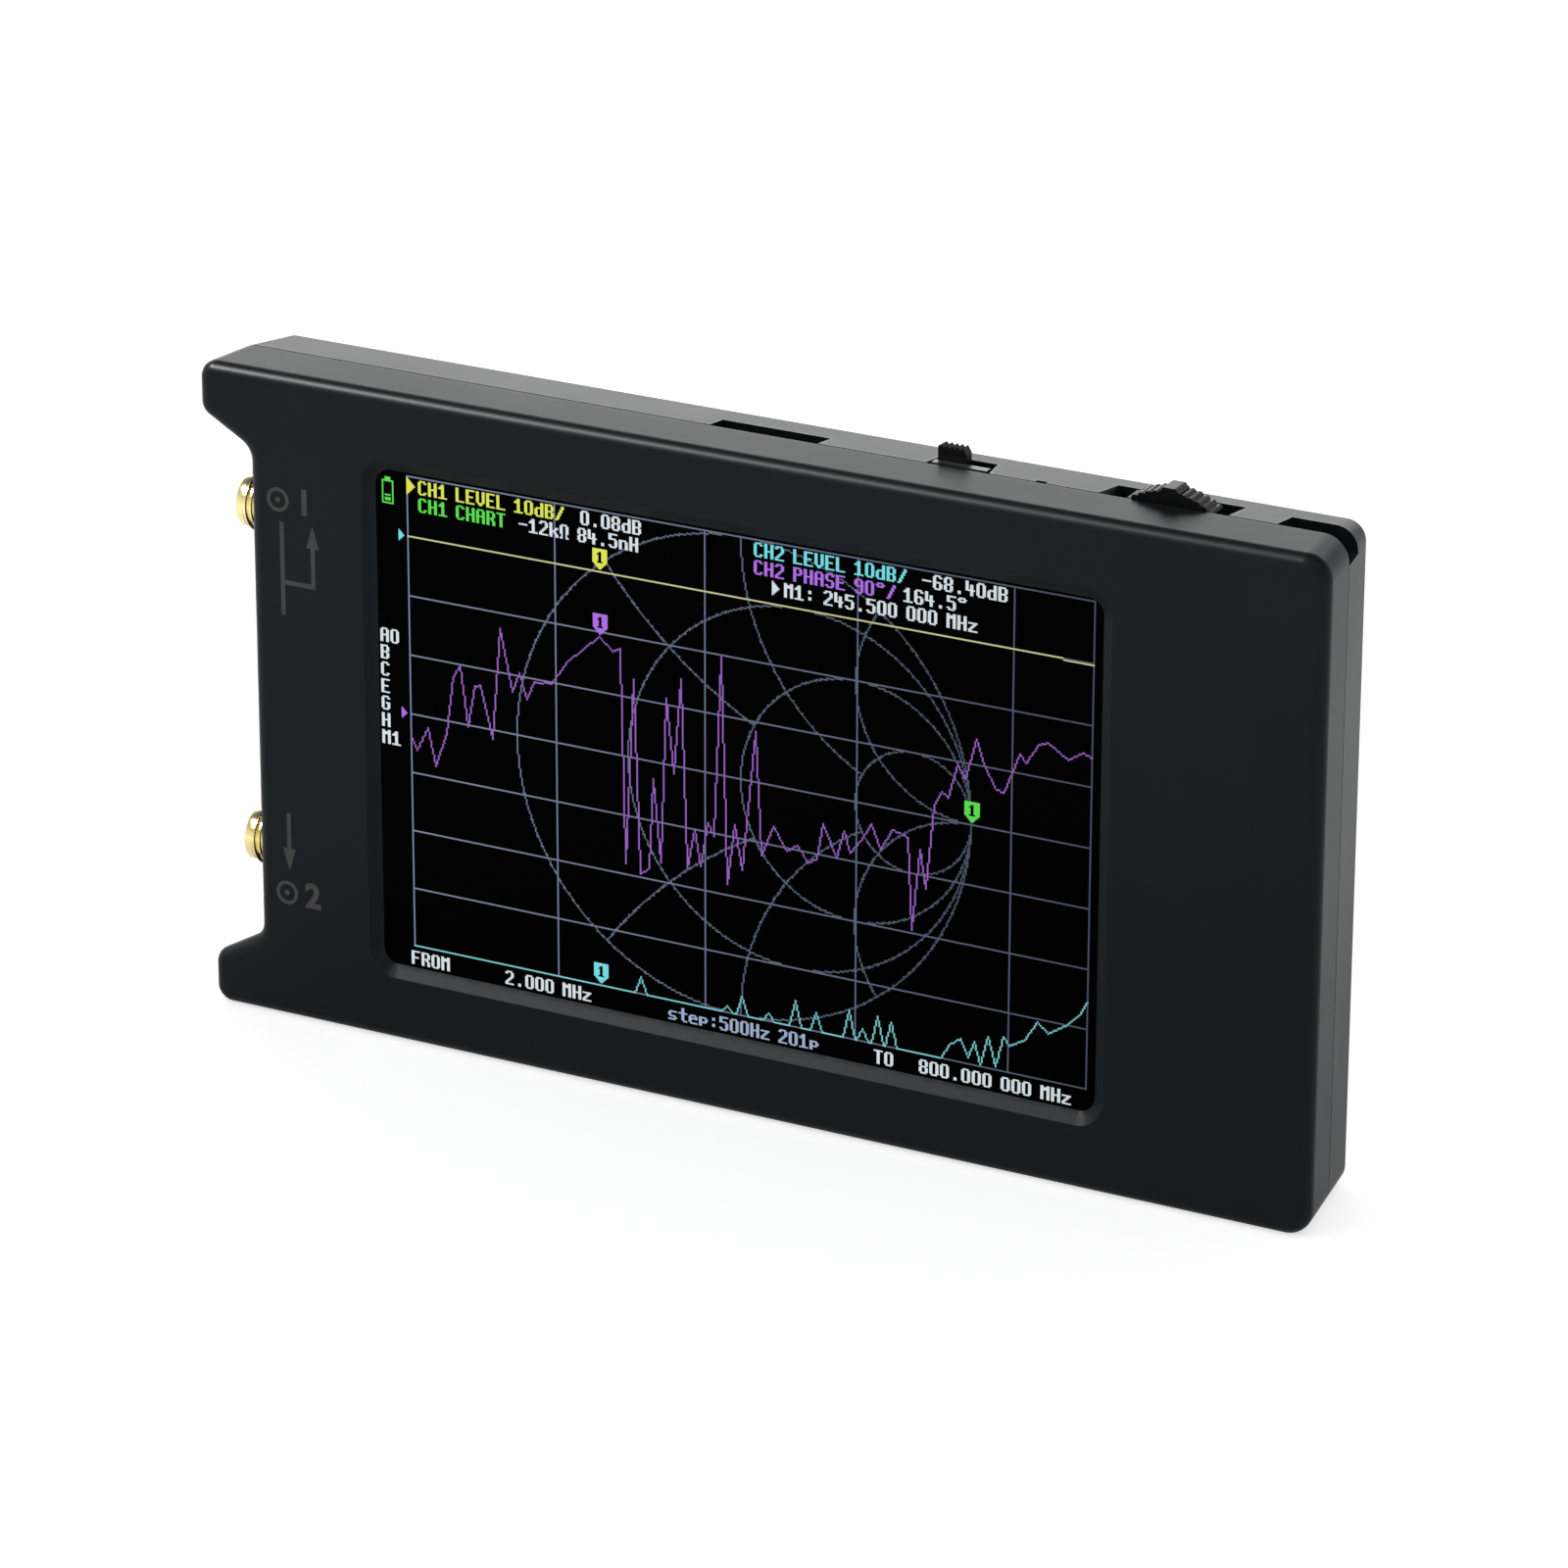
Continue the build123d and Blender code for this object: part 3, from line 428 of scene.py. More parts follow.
@dataclass(frozen=True)
class PanelGlass(Finish):
    """The touch panel: deep black glass, hardly reflecting, with faint smears in its gloss."""

    tone_low: Colour
    tone_high: Colour
    gloss: tuple[float, float]
    specular: float
    smear_stretch: tuple[float, float, float] = (60.0, 60.0, 140.0)
    smear_range: tuple[float, float] = (0.3, 0.75)

    def build(self, effects: Effects) -> bpy.types.Material:
        """Builds the material."""
        material, graph, shader, place = self.start()
        smears = graph.noise(graph.stretched(place, self.smear_stretch), 1.0, 3.0)
        share = graph.remap(smears, *self.smear_range)
        graph.feed(shader.inputs["Base Color"], graph.blend(share, self.tone_low, self.tone_high))
        graph.feed(shader.inputs["Roughness"], graph.remap(smears, *self.smear_range, *self.gloss))
        shader.inputs["Specular IOR Level"].default_value = self.specular
        return material


@dataclass(frozen=True)
class Glow(Finish):
    """One lit colour of the picture: uneven, and dimmer towards the screen's right end."""

    colour: Colour
    far_share: float
    uneven_share: float = 0.92
    left: float = -43.0 * MM
    right: float = 40.0 * MM

    def build(self, effects: Effects) -> bpy.types.Material:
        """Builds the material."""
        material, graph, shader, place = self.start()
        uneven = graph.remap(graph.noise(place, 35.0, 2.0), 0.3, 0.7)
        across = graph.add("SeparateXYZ", {0: place}).outputs["X"]
        reach = graph.remap(across, self.left, self.right)
        near = graph.blend(uneven, dimmer(self.colour, self.uneven_share), self.colour)
        far = dimmer(self.colour, self.far_share)
        graph.feed(shader.inputs["Emission Color"], graph.blend(reach, near, far))
        shader.inputs["Emission Strength"].default_value = 1.0
        shader.inputs["Base Color"].default_value = (0.0, 0.0, 0.0, 1.0)
        shader.inputs["Specular IOR Level"].default_value = 0.0
        return material


@dataclass(frozen=True)
class Laminate(Finish):
    """A circuit board: solder mask over copper runs, with tinned pads and drilled vias."""

    mask: Colour
    over_copper: Colour
    pad: Colour

    def build(self, effects: Effects) -> bpy.types.Material:
        """Builds the material."""
        material, graph, shader, place = self.start()
        turn = (math.radians(90), 0.0, 0.0)
        brick = {
            "Vector": graph.add("Mapping", {"Vector": place, "Rotation": turn}).outputs[0],
            "Scale": 210.0,
            "Mortar Size": 0.06,
            "Brick Width": 0.9,
            "Row Height": 0.22,
        }
        runs = graph.add("TexBrick", brick).outputs["Fac"]
        values = {"Vector": place, "Speck Scale": 420.0, "Speck Size": 0.16}
        pads = self.group(graph, effects.specks, values).outputs["Mask"]
        weave = graph.noise(graph.stretched(place, (1500.0, 900.0, 1500.0)), 1.0, 2.0)
        mask = graph.blend(runs, self.mask, self.over_copper)
        graph.feed(shader.inputs["Base Color"], graph.blend(pads, mask, self.pad))
        graph.feed(shader.inputs["Metallic"], graph.sum("MULTIPLY", pads, 0.9))
        graph.feed(shader.inputs["Roughness"], graph.remap(weave, 0.3, 0.7, 0.28, 0.42))
        height = graph.sum("ADD", graph.sum("MULTIPLY", runs, 0.6), graph.sum("MULTIPLY", weave, 0.3))
        self.bump(graph, shader, height, 0.35, 0.00003)
        return material


@dataclass(frozen=True)
class Ribbon(Finish):
    """A flexible circuit: amber film over parallel copper tracks."""

    film: Colour
    track: Colour
    track_scale: float = 900.0

    def build(self, effects: Effects) -> bpy.types.Material:
        """Builds the material."""
        material, graph, shader, place = self.start()
        wave = {"Vector": place, "Scale": self.track_scale / (2 * math.pi), "Distortion": 0.0}
        tracks = graph.add("TexWave", wave, wave_type="BANDS", bands_direction="Z").outputs["Fac"]
        lines = graph.remap(tracks, 0.45, 0.55)
        broad = graph.noise(place, 90.0, 2.0)
        graph.feed(shader.inputs["Base Color"], graph.blend(lines, self.film, self.track))
        graph.feed(shader.inputs["Roughness"], graph.remap(broad, 0.3, 0.7, 0.22, 0.36))
        self.bump(graph, shader, lines, 0.3, 0.00002)
        return material


@dataclass(frozen=True)
class Foamed(Finish):
    """A soft open-cell strip: pitted, dull and uneven."""

    tone_low: Colour
    tone_high: Colour
    cell_scale: float = 1400.0

    def build(self, effects: Effects) -> bpy.types.Material:
        """Builds the material."""
        material, graph, shader, place = self.start()
        values = {"Vector": place, "Speck Scale": self.cell_scale, "Speck Size": 0.32}
        pits = self.group(graph, effects.specks, values).outputs["Mask"]
        cloud = graph.noise(place, self.cell_scale / 3, 4.0)
        tone = graph.blend(graph.remap(cloud, 0.3, 0.7), self.tone_low, self.tone_high)
        graph.feed(shader.inputs["Base Color"], graph.blend(pits, tone, self.tone_low))
        graph.feed(shader.inputs["Roughness"], graph.remap(cloud, 0.3, 0.7, 0.85, 0.97))
        shader.inputs["Specular IOR Level"].default_value = 0.2
        self.bump(graph, shader, graph.sum("SUBTRACT", cloud, pits), 0.6, 0.00006)
        return material


@dataclass(frozen=True)
class Studio(Finish):
    """The floor: pale, lit by the lamps, and a white background to the eye and to reflections.

    Reflections see it darker near the middle, where the object keeps the light off it.
    """

    colour: Colour
    background: float
    shaded_radius: float = 0.06
    open_radius: float = 0.15
    shaded_share: float = 0.45
    uneven_share: float = 0.985

    def build(self, effects: Effects) -> bpy.types.Material:
        """Builds the material."""
        material, graph, shader, place = self.start()
        cloud = graph.remap(graph.noise(place, 3.0, 2.0), 0.3, 0.7)
        darker = dimmer(self.colour, self.uneven_share)
        graph.feed(shader.inputs["Base Color"], graph.blend(cloud, darker, self.colour))
        shader.inputs["Roughness"].default_value = 0.9
        shader.inputs["Specular IOR Level"].default_value = 0.1
        shader.inputs["Emission Color"].default_value = (1.0, 1.0, 1.0, 1.0)
        rays = graph.add("LightPath").outputs
        away = graph.add("VectorMath", {0: place}, operation="LENGTH").outputs["Value"]
        share = graph.remap(away, self.shaded_radius, self.open_radius, self.shaded_share, 1.0)
        mirrored = graph.sum("MULTIPLY", rays["Is Glossy Ray"], share)
        seen = graph.sum("MAXIMUM", rays["Is Camera Ray"], mirrored)
        seen = graph.sum("MAXIMUM", seen, rays["Is Transmission Ray"])
        graph.feed(shader.inputs["Emission Strength"], graph.sum("MULTIPLY", seen, self.background))
        return material


def grey(value: float) -> Colour:
    """A neutral linear colour."""
    return (value, value, value, 1.0)


class Look(Enum):
    """Every finish of the analyzer and its floor, by what it is made of."""

    # The case's paler edge colour is partly real wear and partly a painted highlight on its rounded edges,
    # over a mask wide enough to cover the fillets.
    CASE = Moulded(
        "case_plastic_skin", (0.0042, 0.0070, 0.0094, 1), (0.0060, 0.0094, 0.0120, 1),
        (0.010, 0.013, 0.016, 1), (0.33, 0.41), specular=0.11, grain_scale=5200.0, grain_strength=0.16,
        wear_radius=0.0007, wear_amount=0.9, wear_polish=0.2,
    )
    KNOB = Moulded(
        "knob_plastic_satin", (0.0030, 0.0032, 0.0036, 1), (0.0046, 0.0048, 0.0052, 1),
        (0.012, 0.012, 0.013, 1), (0.28, 0.38), specular=0.18, grain_scale=7000.0, wear_radius=0.0001,
        wear_amount=0.6,
    )
    PRINT = Moulded(
        "grey_print", (0.062, 0.060, 0.060, 1), (0.080, 0.078, 0.078, 1), (0.085, 0.084, 0.084, 1),
        (0.55, 0.7), specular=0.2, grain_scale=9000.0, grain_strength=0.3, broad_scale=600.0, wear_amount=0.1,
    )
    PANEL = PanelGlass("black_panel_glass", grey(0.0001), grey(0.0003), (0.03, 0.09), 0.008)
    CELL = Moulded(
        "display_black", grey(0.0002), grey(0.0004), grey(0.0006), (0.12, 0.2), specular=0.03,
        grain_strength=0.02, wear_amount=0.1,
    )
    FRAME = Metal(
        "backlight_frame_steel", grey(0.42), grey(0.50), grey(0.62), (0.28, 0.4), (1.0, 1.0, 0.02),
    )
    TAPE = Moulded(
        "black_tape", grey(0.010), grey(0.014), grey(0.02), (0.45, 0.6), specular=0.4, grain_scale=2500.0,
        grain_strength=0.3, wear_amount=0.1,
    )
    FOAM = Foamed("foam_strip", grey(0.012), grey(0.03))
    FLEX = Ribbon("amber_flex", (0.42, 0.16, 0.02, 1), (0.55, 0.27, 0.06, 1))
    BOARD = Laminate(
        "green_laminate", (0.004, 0.035, 0.014, 1), (0.008, 0.075, 0.028, 1), (0.78, 0.56, 0.24, 1),
    )
    GOLD = Metal(
        "gold_plating", (0.92, 0.76, 0.35, 1), (0.98, 0.88, 0.50, 1), (1.0, 0.92, 0.62, 1), (0.08, 0.16),
        (1.0, 0.02, 0.02), line_scale=9000.0, line_strength=0.12,
    )
    PTFE = Moulded(
        "white_insulator", (0.70, 0.69, 0.66, 1), (0.78, 0.77, 0.74, 1), grey(0.8), (0.4, 0.55),
        grain_scale=3000.0, wear_amount=0.2,
    )
    SCREW = Metal(
        "blackened_steel", grey(0.035), grey(0.055), grey(0.22), (0.35, 0.5), (0.05, 1.0, 0.05),
        line_scale=6000.0, wear_amount=0.7,
    )
    PLATED = Metal(
        "nickel_plate", (0.55, 0.54, 0.51, 1), (0.66, 0.65, 0.62, 1), grey(0.75), (0.22, 0.34),
        (0.03, 1.0, 1.0), line_scale=5000.0,
    )
    SWITCH_FRAME = Metal(
        "tinned_switch_frame", (0.085, 0.086, 0.095, 1), (0.12, 0.121, 0.13, 1), grey(0.14), (0.28, 0.40),
        (0.03, 1.0, 1.0), line_scale=5000.0,
    )
    MOULDING = Moulded(
        "black_contact_moulding", grey(0.008), grey(0.013), grey(0.03), (0.5, 0.62), grain_scale=3500.0,
        wear_radius=0.00008, wear_amount=0.3,
    )
    CHIP = Moulded(
        "epoxy_package", grey(0.012), grey(0.019), grey(0.04), (0.55, 0.7), specular=0.4, grain_scale=6000.0,
        grain_strength=0.35, broad_scale=500.0, wear_radius=0.00006, wear_amount=0.4,
    )
    FERRITE = Moulded(
        "ferrite", grey(0.055), grey(0.085), grey(0.12), (0.6, 0.75), grain_scale=5000.0, grain_strength=0.4,
        broad_scale=900.0, wear_radius=0.0001,
    )
    CERAMIC = Moulded(
        "ceramic_body", (0.30, 0.20, 0.12, 1), (0.42, 0.30, 0.19, 1), (0.6, 0.58, 0.55, 1), (0.4, 0.55),
        grain_scale=8000.0, broad_scale=900.0, wear_radius=0.00015, wear_amount=1.0,
    )
    LED = Moulded(
        "led_lens", (0.72, 0.70, 0.58, 1), (0.80, 0.78, 0.68, 1), grey(0.85), (0.25, 0.35), broad_scale=900.0,
    )
    FOIL = Metal(
        "cell_foil", grey(0.58), grey(0.68), grey(0.78), (0.3, 0.45), (1.0, 1.0, 0.15), line_scale=700.0,
        line_strength=0.35, line_depth=0.00005, broad_scale=60.0,
    )
    NYLON = Moulded(
        "natural_nylon", (0.68, 0.66, 0.60, 1), (0.76, 0.74, 0.68, 1), grey(0.8), (0.42, 0.55),
        grain_scale=2500.0,
    )
    WIRE_RED = Moulded(
        "red_insulation", (0.42, 0.012, 0.010, 1), (0.52, 0.020, 0.015, 1), (0.6, 0.06, 0.05, 1), (0.3, 0.42),
        grain_scale=2600.0, broad_scale=300.0,
    )
    WIRE_BLACK = Moulded(
        "black_insulation", grey(0.010), grey(0.017), grey(0.03), (0.3, 0.42), grain_scale=2600.0,
        broad_scale=300.0,
    )
    FLOOR = Studio("pale_floor", (0.80, 0.80, 0.80, 1), 0.62)


class Paintbox:
    """Builds each finish the first time that something needs it."""

    def __init__(self) -> None:
        """Builds the shared effects."""
        self.effects = Effects()
        self.made: dict[str, bpy.types.Material] = {}

    def material(self, finish: Finish) -> bpy.types.Material:
        """The material of a finish."""
        if finish.name not in self.made:
            self.made[finish.name] = finish.build(self.effects)
        return self.made[finish.name]

    def dress(self, thing: bpy.types.Object, look: Look) -> None:
        """Gives every slot of an object one finish.

        Args:
            thing: The object to dress.
            look: The finish it gets.
        """
        if not thing.material_slots:
            thing.data.materials.append(None)
        for place in thing.material_slots:
            place.material = self.material(look.value)


# ---------------------------------------------------------------- the lit picture


class Ink(Enum):
    """The picture's inks, as display values."""

    CHART = (112, 121, 142)
    GRID = (126, 135, 162)
    FLAT_TRACE = (202, 202, 150)
    LOW_TRACE = (125, 205, 208)
    PHASE_TRACE = (152, 100, 192)
    YELLOW = (225, 232, 90)
    GREEN = (95, 225, 85)
    CYAN = (120, 225, 232)
    MAGENTA = (176, 115, 230)
    WHITE = (220, 230, 235)
    SOFT = (161, 178, 206)

    @property
    def far_share(self) -> float:
        """The share of its light left at the screen's right end, where the faint inks fade most."""
        return 0.30 if self in (Ink.CHART, Ink.GRID) else 0.88


class Glyphs:
    """A bold pixel alphabet, nine rows tall, each row one of a few bars and strokes."""

    advance = 7
    space = 5
    rows = {
        " ": "......",
        "F": "######",
        "O": ".####.",
        "D": "#####.",
        "C": ".#####",
        "H": "##..##",
        "Q": "##.###",
        "K": "##.##.",
        "k": "####..",
        "L": "##....",
        "b": ".##...",
        "p": ".###..",
        "I": "..##..",
        "a": "...##.",
        "g": "...###",
        "R": "....##",
        "h": ".#..#.",
    }
    shapes = {
        "0": "OHHHHHHHO",
        "1": "IpkIIIIIF",
        "2": "OHRRaIbLF",
        "4": "LLKKKFaaa",
        "5": "FLLDRRRHO",
        "6": "OHLLDHHHO",
        "8": "OHHHOHHHO",
        "9": "OHHHCRRHO",
        ".": "       II",
        ":": "  II  II ",
        "-": "    F    ",
        "/": "RRaaIIbbL",
        "°": "OHO      ",
        "Ω": "OHHHHHhhH",
        "A": "OHHHFHHHH",
        "B": "DHHHDHHHD",
        "C": "OHLLLLLHO",
        "E": "FLLLDLLLF",
        "F": "FLLLDLLLL",
        "G": "OHLLQHHHO",
        "H": "HHHHFHHHH",
        "L": "LLLLLLLLF",
        "M": "HFFHHHHHH",
        "O": "OHHHHHHHO",
        "P": "DHHHDLLLL",
        "R": "DHHHDKHHH",
        "S": "OHLLORRHO",
        "T": "FIIIIIIII",
        "V": "HHHHHHHOI",
        "d": "RRRCHHHHC",
        "e": "   OHFLLC",
        "k": "LLLHKkKHH",
        "n": "   DHHHHH",
        "p": "   DHHDLL",
        "s": "   CLLORD",
        "t": "IIIFIIIIg",
        "z": "   FaIbLF",
    }


class Raster:
    """A screen of pixels, each unlit or lit in one ink, with its corner at the top left."""

    def __init__(self, columns: int, rows: int) -> None:
        """Starts an unlit screen of that many columns and rows."""
        self.columns = columns
        self.rows = rows
        self.lit: dict[tuple[int, int], Ink] = {}

    def dot(self, x: float, y: float, ink: Ink | None) -> None:
        """Lights one pixel, or puts it out where there is no ink."""
        place = (round(x), round(y))
        if not (0 <= place[0] < self.columns and 0 <= place[1] < self.rows):
            return
        if ink is None:
            self.lit.pop(place, None)
        else:
            self.lit[place] = ink

    def line(self, start: tuple[float, float], end: tuple[float, float], ink: Ink) -> None:
        """Draws a straight line one pixel wide."""
        run = end[0] - start[0]
        rise = end[1] - start[1]
        steps = max(1, math.ceil(max(abs(run), abs(rise))))
        for step in range(steps + 1):
            self.dot(start[0] + run * step / steps, start[1] + rise * step / steps, ink)

    def polyline(self, points: Iterable[tuple[float, float]], ink: Ink) -> None:
        """Draws straight lines from point to point."""
        points = list(points)
        for start, end in zip(points, points[1:]):
            self.line(start, end, ink)

    def circle(
        self, centre: tuple, radius: float, ink: Ink, within: tuple, outside: tuple | None = None
    ) -> None:
        """Draws the part of a circle that lies in a second circle and out of a third.

        Args:
            centre: The circle's centre.
            radius: Its radius.
            ink: Its ink.
            within: The second circle's centre and radius.
            outside: The third circle's centre and radius, where there is one.
        """
        steps = math.ceil(2 * math.pi * radius * 1.2)
        for step in range(steps):
            angle = 2 * math.pi * step / steps
            x = centre[0] + radius * math.cos(angle)
            y = centre[1] + radius * math.sin(angle)
            if math.dist((x, y), within[0]) > within[1] + 0.5:
                continue
            if outside is None or math.dist((x, y), outside[0]) >= outside[1]:
                self.dot(x, y, ink)

    def box(self, left: int, top: int, right: int, bottom: int, ink: Ink | None) -> None:
        """Fills a block of pixels, its last column and row included."""
        for x in range(left, right + 1):
            for y in range(top, bottom + 1):
                self.dot(x, y, ink)

    def text(self, left: float, top: float, words: str, ink: Ink) -> None:
        """Writes a line of text from its top left corner."""
        x = left
        for letter in words:
            if letter == " ":
                x += Glyphs.space
                continue
            for row, code in enumerate(Glyphs.shapes[letter]):
                for column, mark in enumerate(Glyphs.rows[code]):
                    if mark == "#":
                        self.dot(x + column, top + row, ink)
            x += Glyphs.advance

    def flag(self, tip_x: int, tip_y: int, ink: Ink) -> None:
        """Draws a numbered marker, a shield that stands on its point."""
        half = 5
        square = 9
        top = tip_y - square - half + 1
        self.box(tip_x - half, top, tip_x + half - 1, top + square - 1, ink)
        for step in range(1, half):
            y = top + square + step - 1
            self.box(tip_x - half + step, y, tip_x + half - 1 - step, y, ink)
        self.box(tip_x - 1, top + 2, tip_x, top + square - 1, None)
        self.box(tip_x - 2, top + 3, tip_x - 2, top + 3, None)
        self.box(tip_x - 2, top + square - 1, tip_x + 1, top + square - 1, None)

    def pointer(self, left: int, middle: int, half: int, ink: Ink) -> None:
        """Draws a small solid triangle that points right."""
        for step in range(half + 1):
            self.box(left + step, middle - half + step, left + step, middle + half - step, ink)


@dataclass(frozen=True)
class Graticule:
    """The grid and the round impedance chart behind the traces, in pixels."""

    left: int = 20
    right: int = 475
    bottom: int = 304
    row: int = 38
    column: int = 101
    chart: tuple[float, float] = (246, 152)
    reach: float = 152

    def draw(self, screen: Raster) -> None:
        """Draws the chart's circles and arcs, then the grid over them."""
        within = (self.chart, self.reach)
        open_end = self.chart[0] + self.reach
        for share in (1.0, 0.75, 0.5, 0.25):
            radius = self.reach * share
            screen.circle((open_end - radius, self.chart[1]), radius, Ink.CHART, within)
        for share, clear_share in ((2.0, 0.5), (1.0, 0.25), (0.5, 0.0)):
            radius = self.reach * share
            clear = self.reach * clear_share
            outside = ((open_end - clear, self.chart[1]), clear)
            for side in (-1, 1):
                centre = (open_end, self.chart[1] + side * radius)
                screen.circle(centre, radius, Ink.CHART, within, outside)
        for y in range(0, self.bottom + 1, self.row):
            screen.line((self.left, y), (self.right, y), Ink.GRID)
        for x in (*range(self.left, self.right, self.column), self.right):
            screen.line((x, 0), (x, self.bottom), Ink.GRID)


@dataclass(frozen=True)
class Traces:
    """The instrument's curves, each as a list of corners in the screen's pixels."""

    phase: tuple = (
        (20, 166), (24, 175), (32, 159), (37, 183), (45, 160), (50, 123), (55, 115), (60, 153), (65, 126),
        (69, 125), (77, 158), (83, 86), (91, 125), (96, 112), (101, 128), (106, 116), (118, 115),
        (129, 99), (141, 88), (151, 79), (160, 87), (165, 84), (168, 221), (174, 102), (178, 226),
        (184, 221), (187, 163), (192, 216), (196, 110), (201, 157), (206, 96), (210, 216), (215, 190),
        (219, 213), (224, 184), (228, 192), (233, 77), (237, 221), (242, 182), (247, 210), (256, 120),
        (260, 198), (268, 178), (277, 192), (284, 187), (291, 197), (297, 193), (301, 170), (310, 190),
        (315, 172), (319, 185), (326, 176), (333, 164), (339, 179), (347, 165), (357, 168), (360, 226),
        (365, 174), (369, 198), (374, 144), (379, 135), (383, 138), (389, 116), (394, 124), (401, 98),
        (406, 113), (414, 127), (419, 128), (429, 102), (433, 107), (441, 94), (447, 92), (460, 100),
        (469, 94), (475, 96),
    )
    low_peaks: tuple = (
        (178, 293), (237, 300), (247, 292), (265, 299), (283, 287), (297, 292), (319, 286), (328, 296),
        (338, 286), (347, 288),
    )
    low_rise: tuple = (
        (380, 304), (386, 294), (393, 289), (398, 300), (402, 289), (406, 303), (411, 284), (416, 302),
        (421, 282), (425, 287), (435, 281), (443, 268), (450, 274), (462, 266), (470, 258), (475, 249),
    )
    steady_y: int = 38
    steady_step_x: int = 455
    peak_half: int = 4

    def draw(self, screen: Raster, grid: Graticule) -> None:
        """Draws the three curves: the steady one, the low one and the wild one."""
        steady = [
            (grid.left, self.steady_y),
            (self.steady_step_x, self.steady_y),
            (self.steady_step_x + 1, self.steady_y + 1),
            (grid.right, self.steady_y + 1),
        ]
        screen.polyline(steady, Ink.FLAT_TRACE)
        corners = [(grid.left, grid.bottom)]
        for x, y in self.low_peaks:
            corners += [(x - self.peak_half, grid.bottom), (x, y), (x + self.peak_half, grid.bottom)]
        screen.polyline([*corners, *self.low_rise], Ink.LOW_TRACE)
        screen.polyline(self.phase, Ink.PHASE_TRACE)


@dataclass(frozen=True)
class Readouts:
    """The picture's generic words and numbers, by the pixel where each one starts."""

    lines: tuple = (
        (28, 2, "CH1 LEVEL 10dB/", Ink.YELLOW),
        (139, 2, "0.08dB", Ink.WHITE),
        (28, 13, "CH1 CHART", Ink.GREEN),
        (97, 13, "-12kΩ 84.5nH", Ink.WHITE),
        (255, 2, "CH2 LEVEL 10dB/", Ink.CYAN),
        (365, 2, "-68.40dB", Ink.WHITE),
        (255, 13, "CH2 PHASE 90°/", Ink.MAGENTA),
        (353, 13, "164.5°", Ink.WHITE),
        (275, 24, "M1: 245.500 000 MHz", Ink.WHITE),
        (18, 308, "FROM", Ink.WHITE),
        (84, 308, "2.000 MHz", Ink.WHITE),
        (197, 308, "step:500Hz 201p", Ink.SOFT),
        (336, 308, "TO", Ink.WHITE),
        (366, 308, "800.000 000 MHz", Ink.WHITE),
    )
    menu: tuple = ("A0", "B", "C", "E", "G", "H", "M1")
    menu_top: int = 100
    menu_pitch: int = 11
    pointers: tuple = (
        (20, 6, 5, Ink.YELLOW),
        (267, 28, 4, Ink.WHITE),
        (14, 38, 3, Ink.CYAN),
        (14, 152, 3, Ink.MAGENTA),
    )

    def draw(self, screen: Raster) -> None:
        """Writes every line, the letters at the left, and the small signs."""
        for left, top, words, ink in self.lines:
            screen.text(left, top, words, ink)
        for index, words in enumerate(self.menu):
            screen.text(0, self.menu_top + index * self.menu_pitch, words, Ink.WHITE)
        for left, middle, half, ink in self.pointers:
            screen.pointer(left, middle, half, ink)
        self._cell(screen)

    def _cell(self, screen: Raster) -> None:
        """Draws the sign of a half full battery."""
        screen.box(3, 5, 10, 19, Ink.GREEN)
        screen.box(4, 6, 9, 18, None)
        screen.box(5, 3, 8, 4, Ink.GREEN)
        screen.box(5, 14, 8, 14, Ink.GREEN)
        screen.box(5, 16, 8, 17, Ink.GREEN)


# ---------------------------------------------------------------- sub-assemblies


def finished(name: str, mesh: bmesh.types.BMesh, smooth: bool = False) -> bpy.types.Object:
    """Turns a finished bmesh into a piece whose place is in its mesh.

    Args:
        name: The piece's name.
        mesh: The bmesh, which is freed.
        smooth: Whether its faces are shaded smooth up to sharp edges.

    Returns:
        The new object, at the origin.
    """
    data = bpy.data.meshes.new(name)
    mesh.to_mesh(data)
    mesh.free()
    piece = placed(name, data)
    if smooth:
        data.shade_smooth()
        data.set_sharp_from_angle(angle=SHARP_ANGLE)
    return piece


def box_in(mesh: bmesh.types.BMesh, low: tuple, high: tuple, turn: float = 0.0) -> list:
    """Adds a box between two corners, turned about the Y axis through its own middle.

    Args:
        mesh: The bmesh that the box is added to.
        low: Its lowest corner.
        high: Its highest corner.
        turn: The turn about Y in radians.

    Returns:
        The box's vertices.
    """
    size = Vector(high) - Vector(low)
    middle = (Vector(high) + Vector(low)) / 2
    shape = Matrix.Translation(middle) @ Matrix.Rotation(turn, 4, "Y") @ Matrix.Diagonal((*size, 1.0))
    return bmesh.ops.create_cube(mesh, size=1.0, matrix=shape)["verts"]


class SubAssembly:
    """A group of CAD nodes and pieces that are finished together."""

    looks: dict[Look, tuple[str, ...]] = {}

    def __init__(self, nodes: dict[str, bpy.types.Object], paintbox: Paintbox) -> None:
        """Keeps the frame's nodes and the paintbox.

        Args:
            nodes: The CAD nodes by name.
            paintbox: The finishes.
        """
        self.nodes = nodes
        self.paintbox = paintbox

    def build(self) -> None:
        """Makes the sub-assembly's own pieces; most have none."""

    def finish(self) -> None:
        """Dresses the CAD nodes and makes the pieces."""
        for look, names in self.looks.items():
            for name in names:
                self.paintbox.dress(self.nodes[name], look)
                LOG.info("%s: %s in %s", type(self).__name__, name, look.value.name)
        self.build()

    def add(self, piece: bpy.types.Object, look: Look, slot: str, body: str = "case") -> bpy.types.Object:
        """Dresses a new piece and fixes it to its body.

        Args:
            piece: The new piece.
            look: Its finish.
            slot: The record's material slot it belongs to; not used.
            body: The CAD body it moves with.

        Returns:
            The piece.
        """
        self.paintbox.dress(piece, look)
        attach(piece, body)
        LOG.info("%s: made %s", type(self).__name__, piece.name)
        return piece


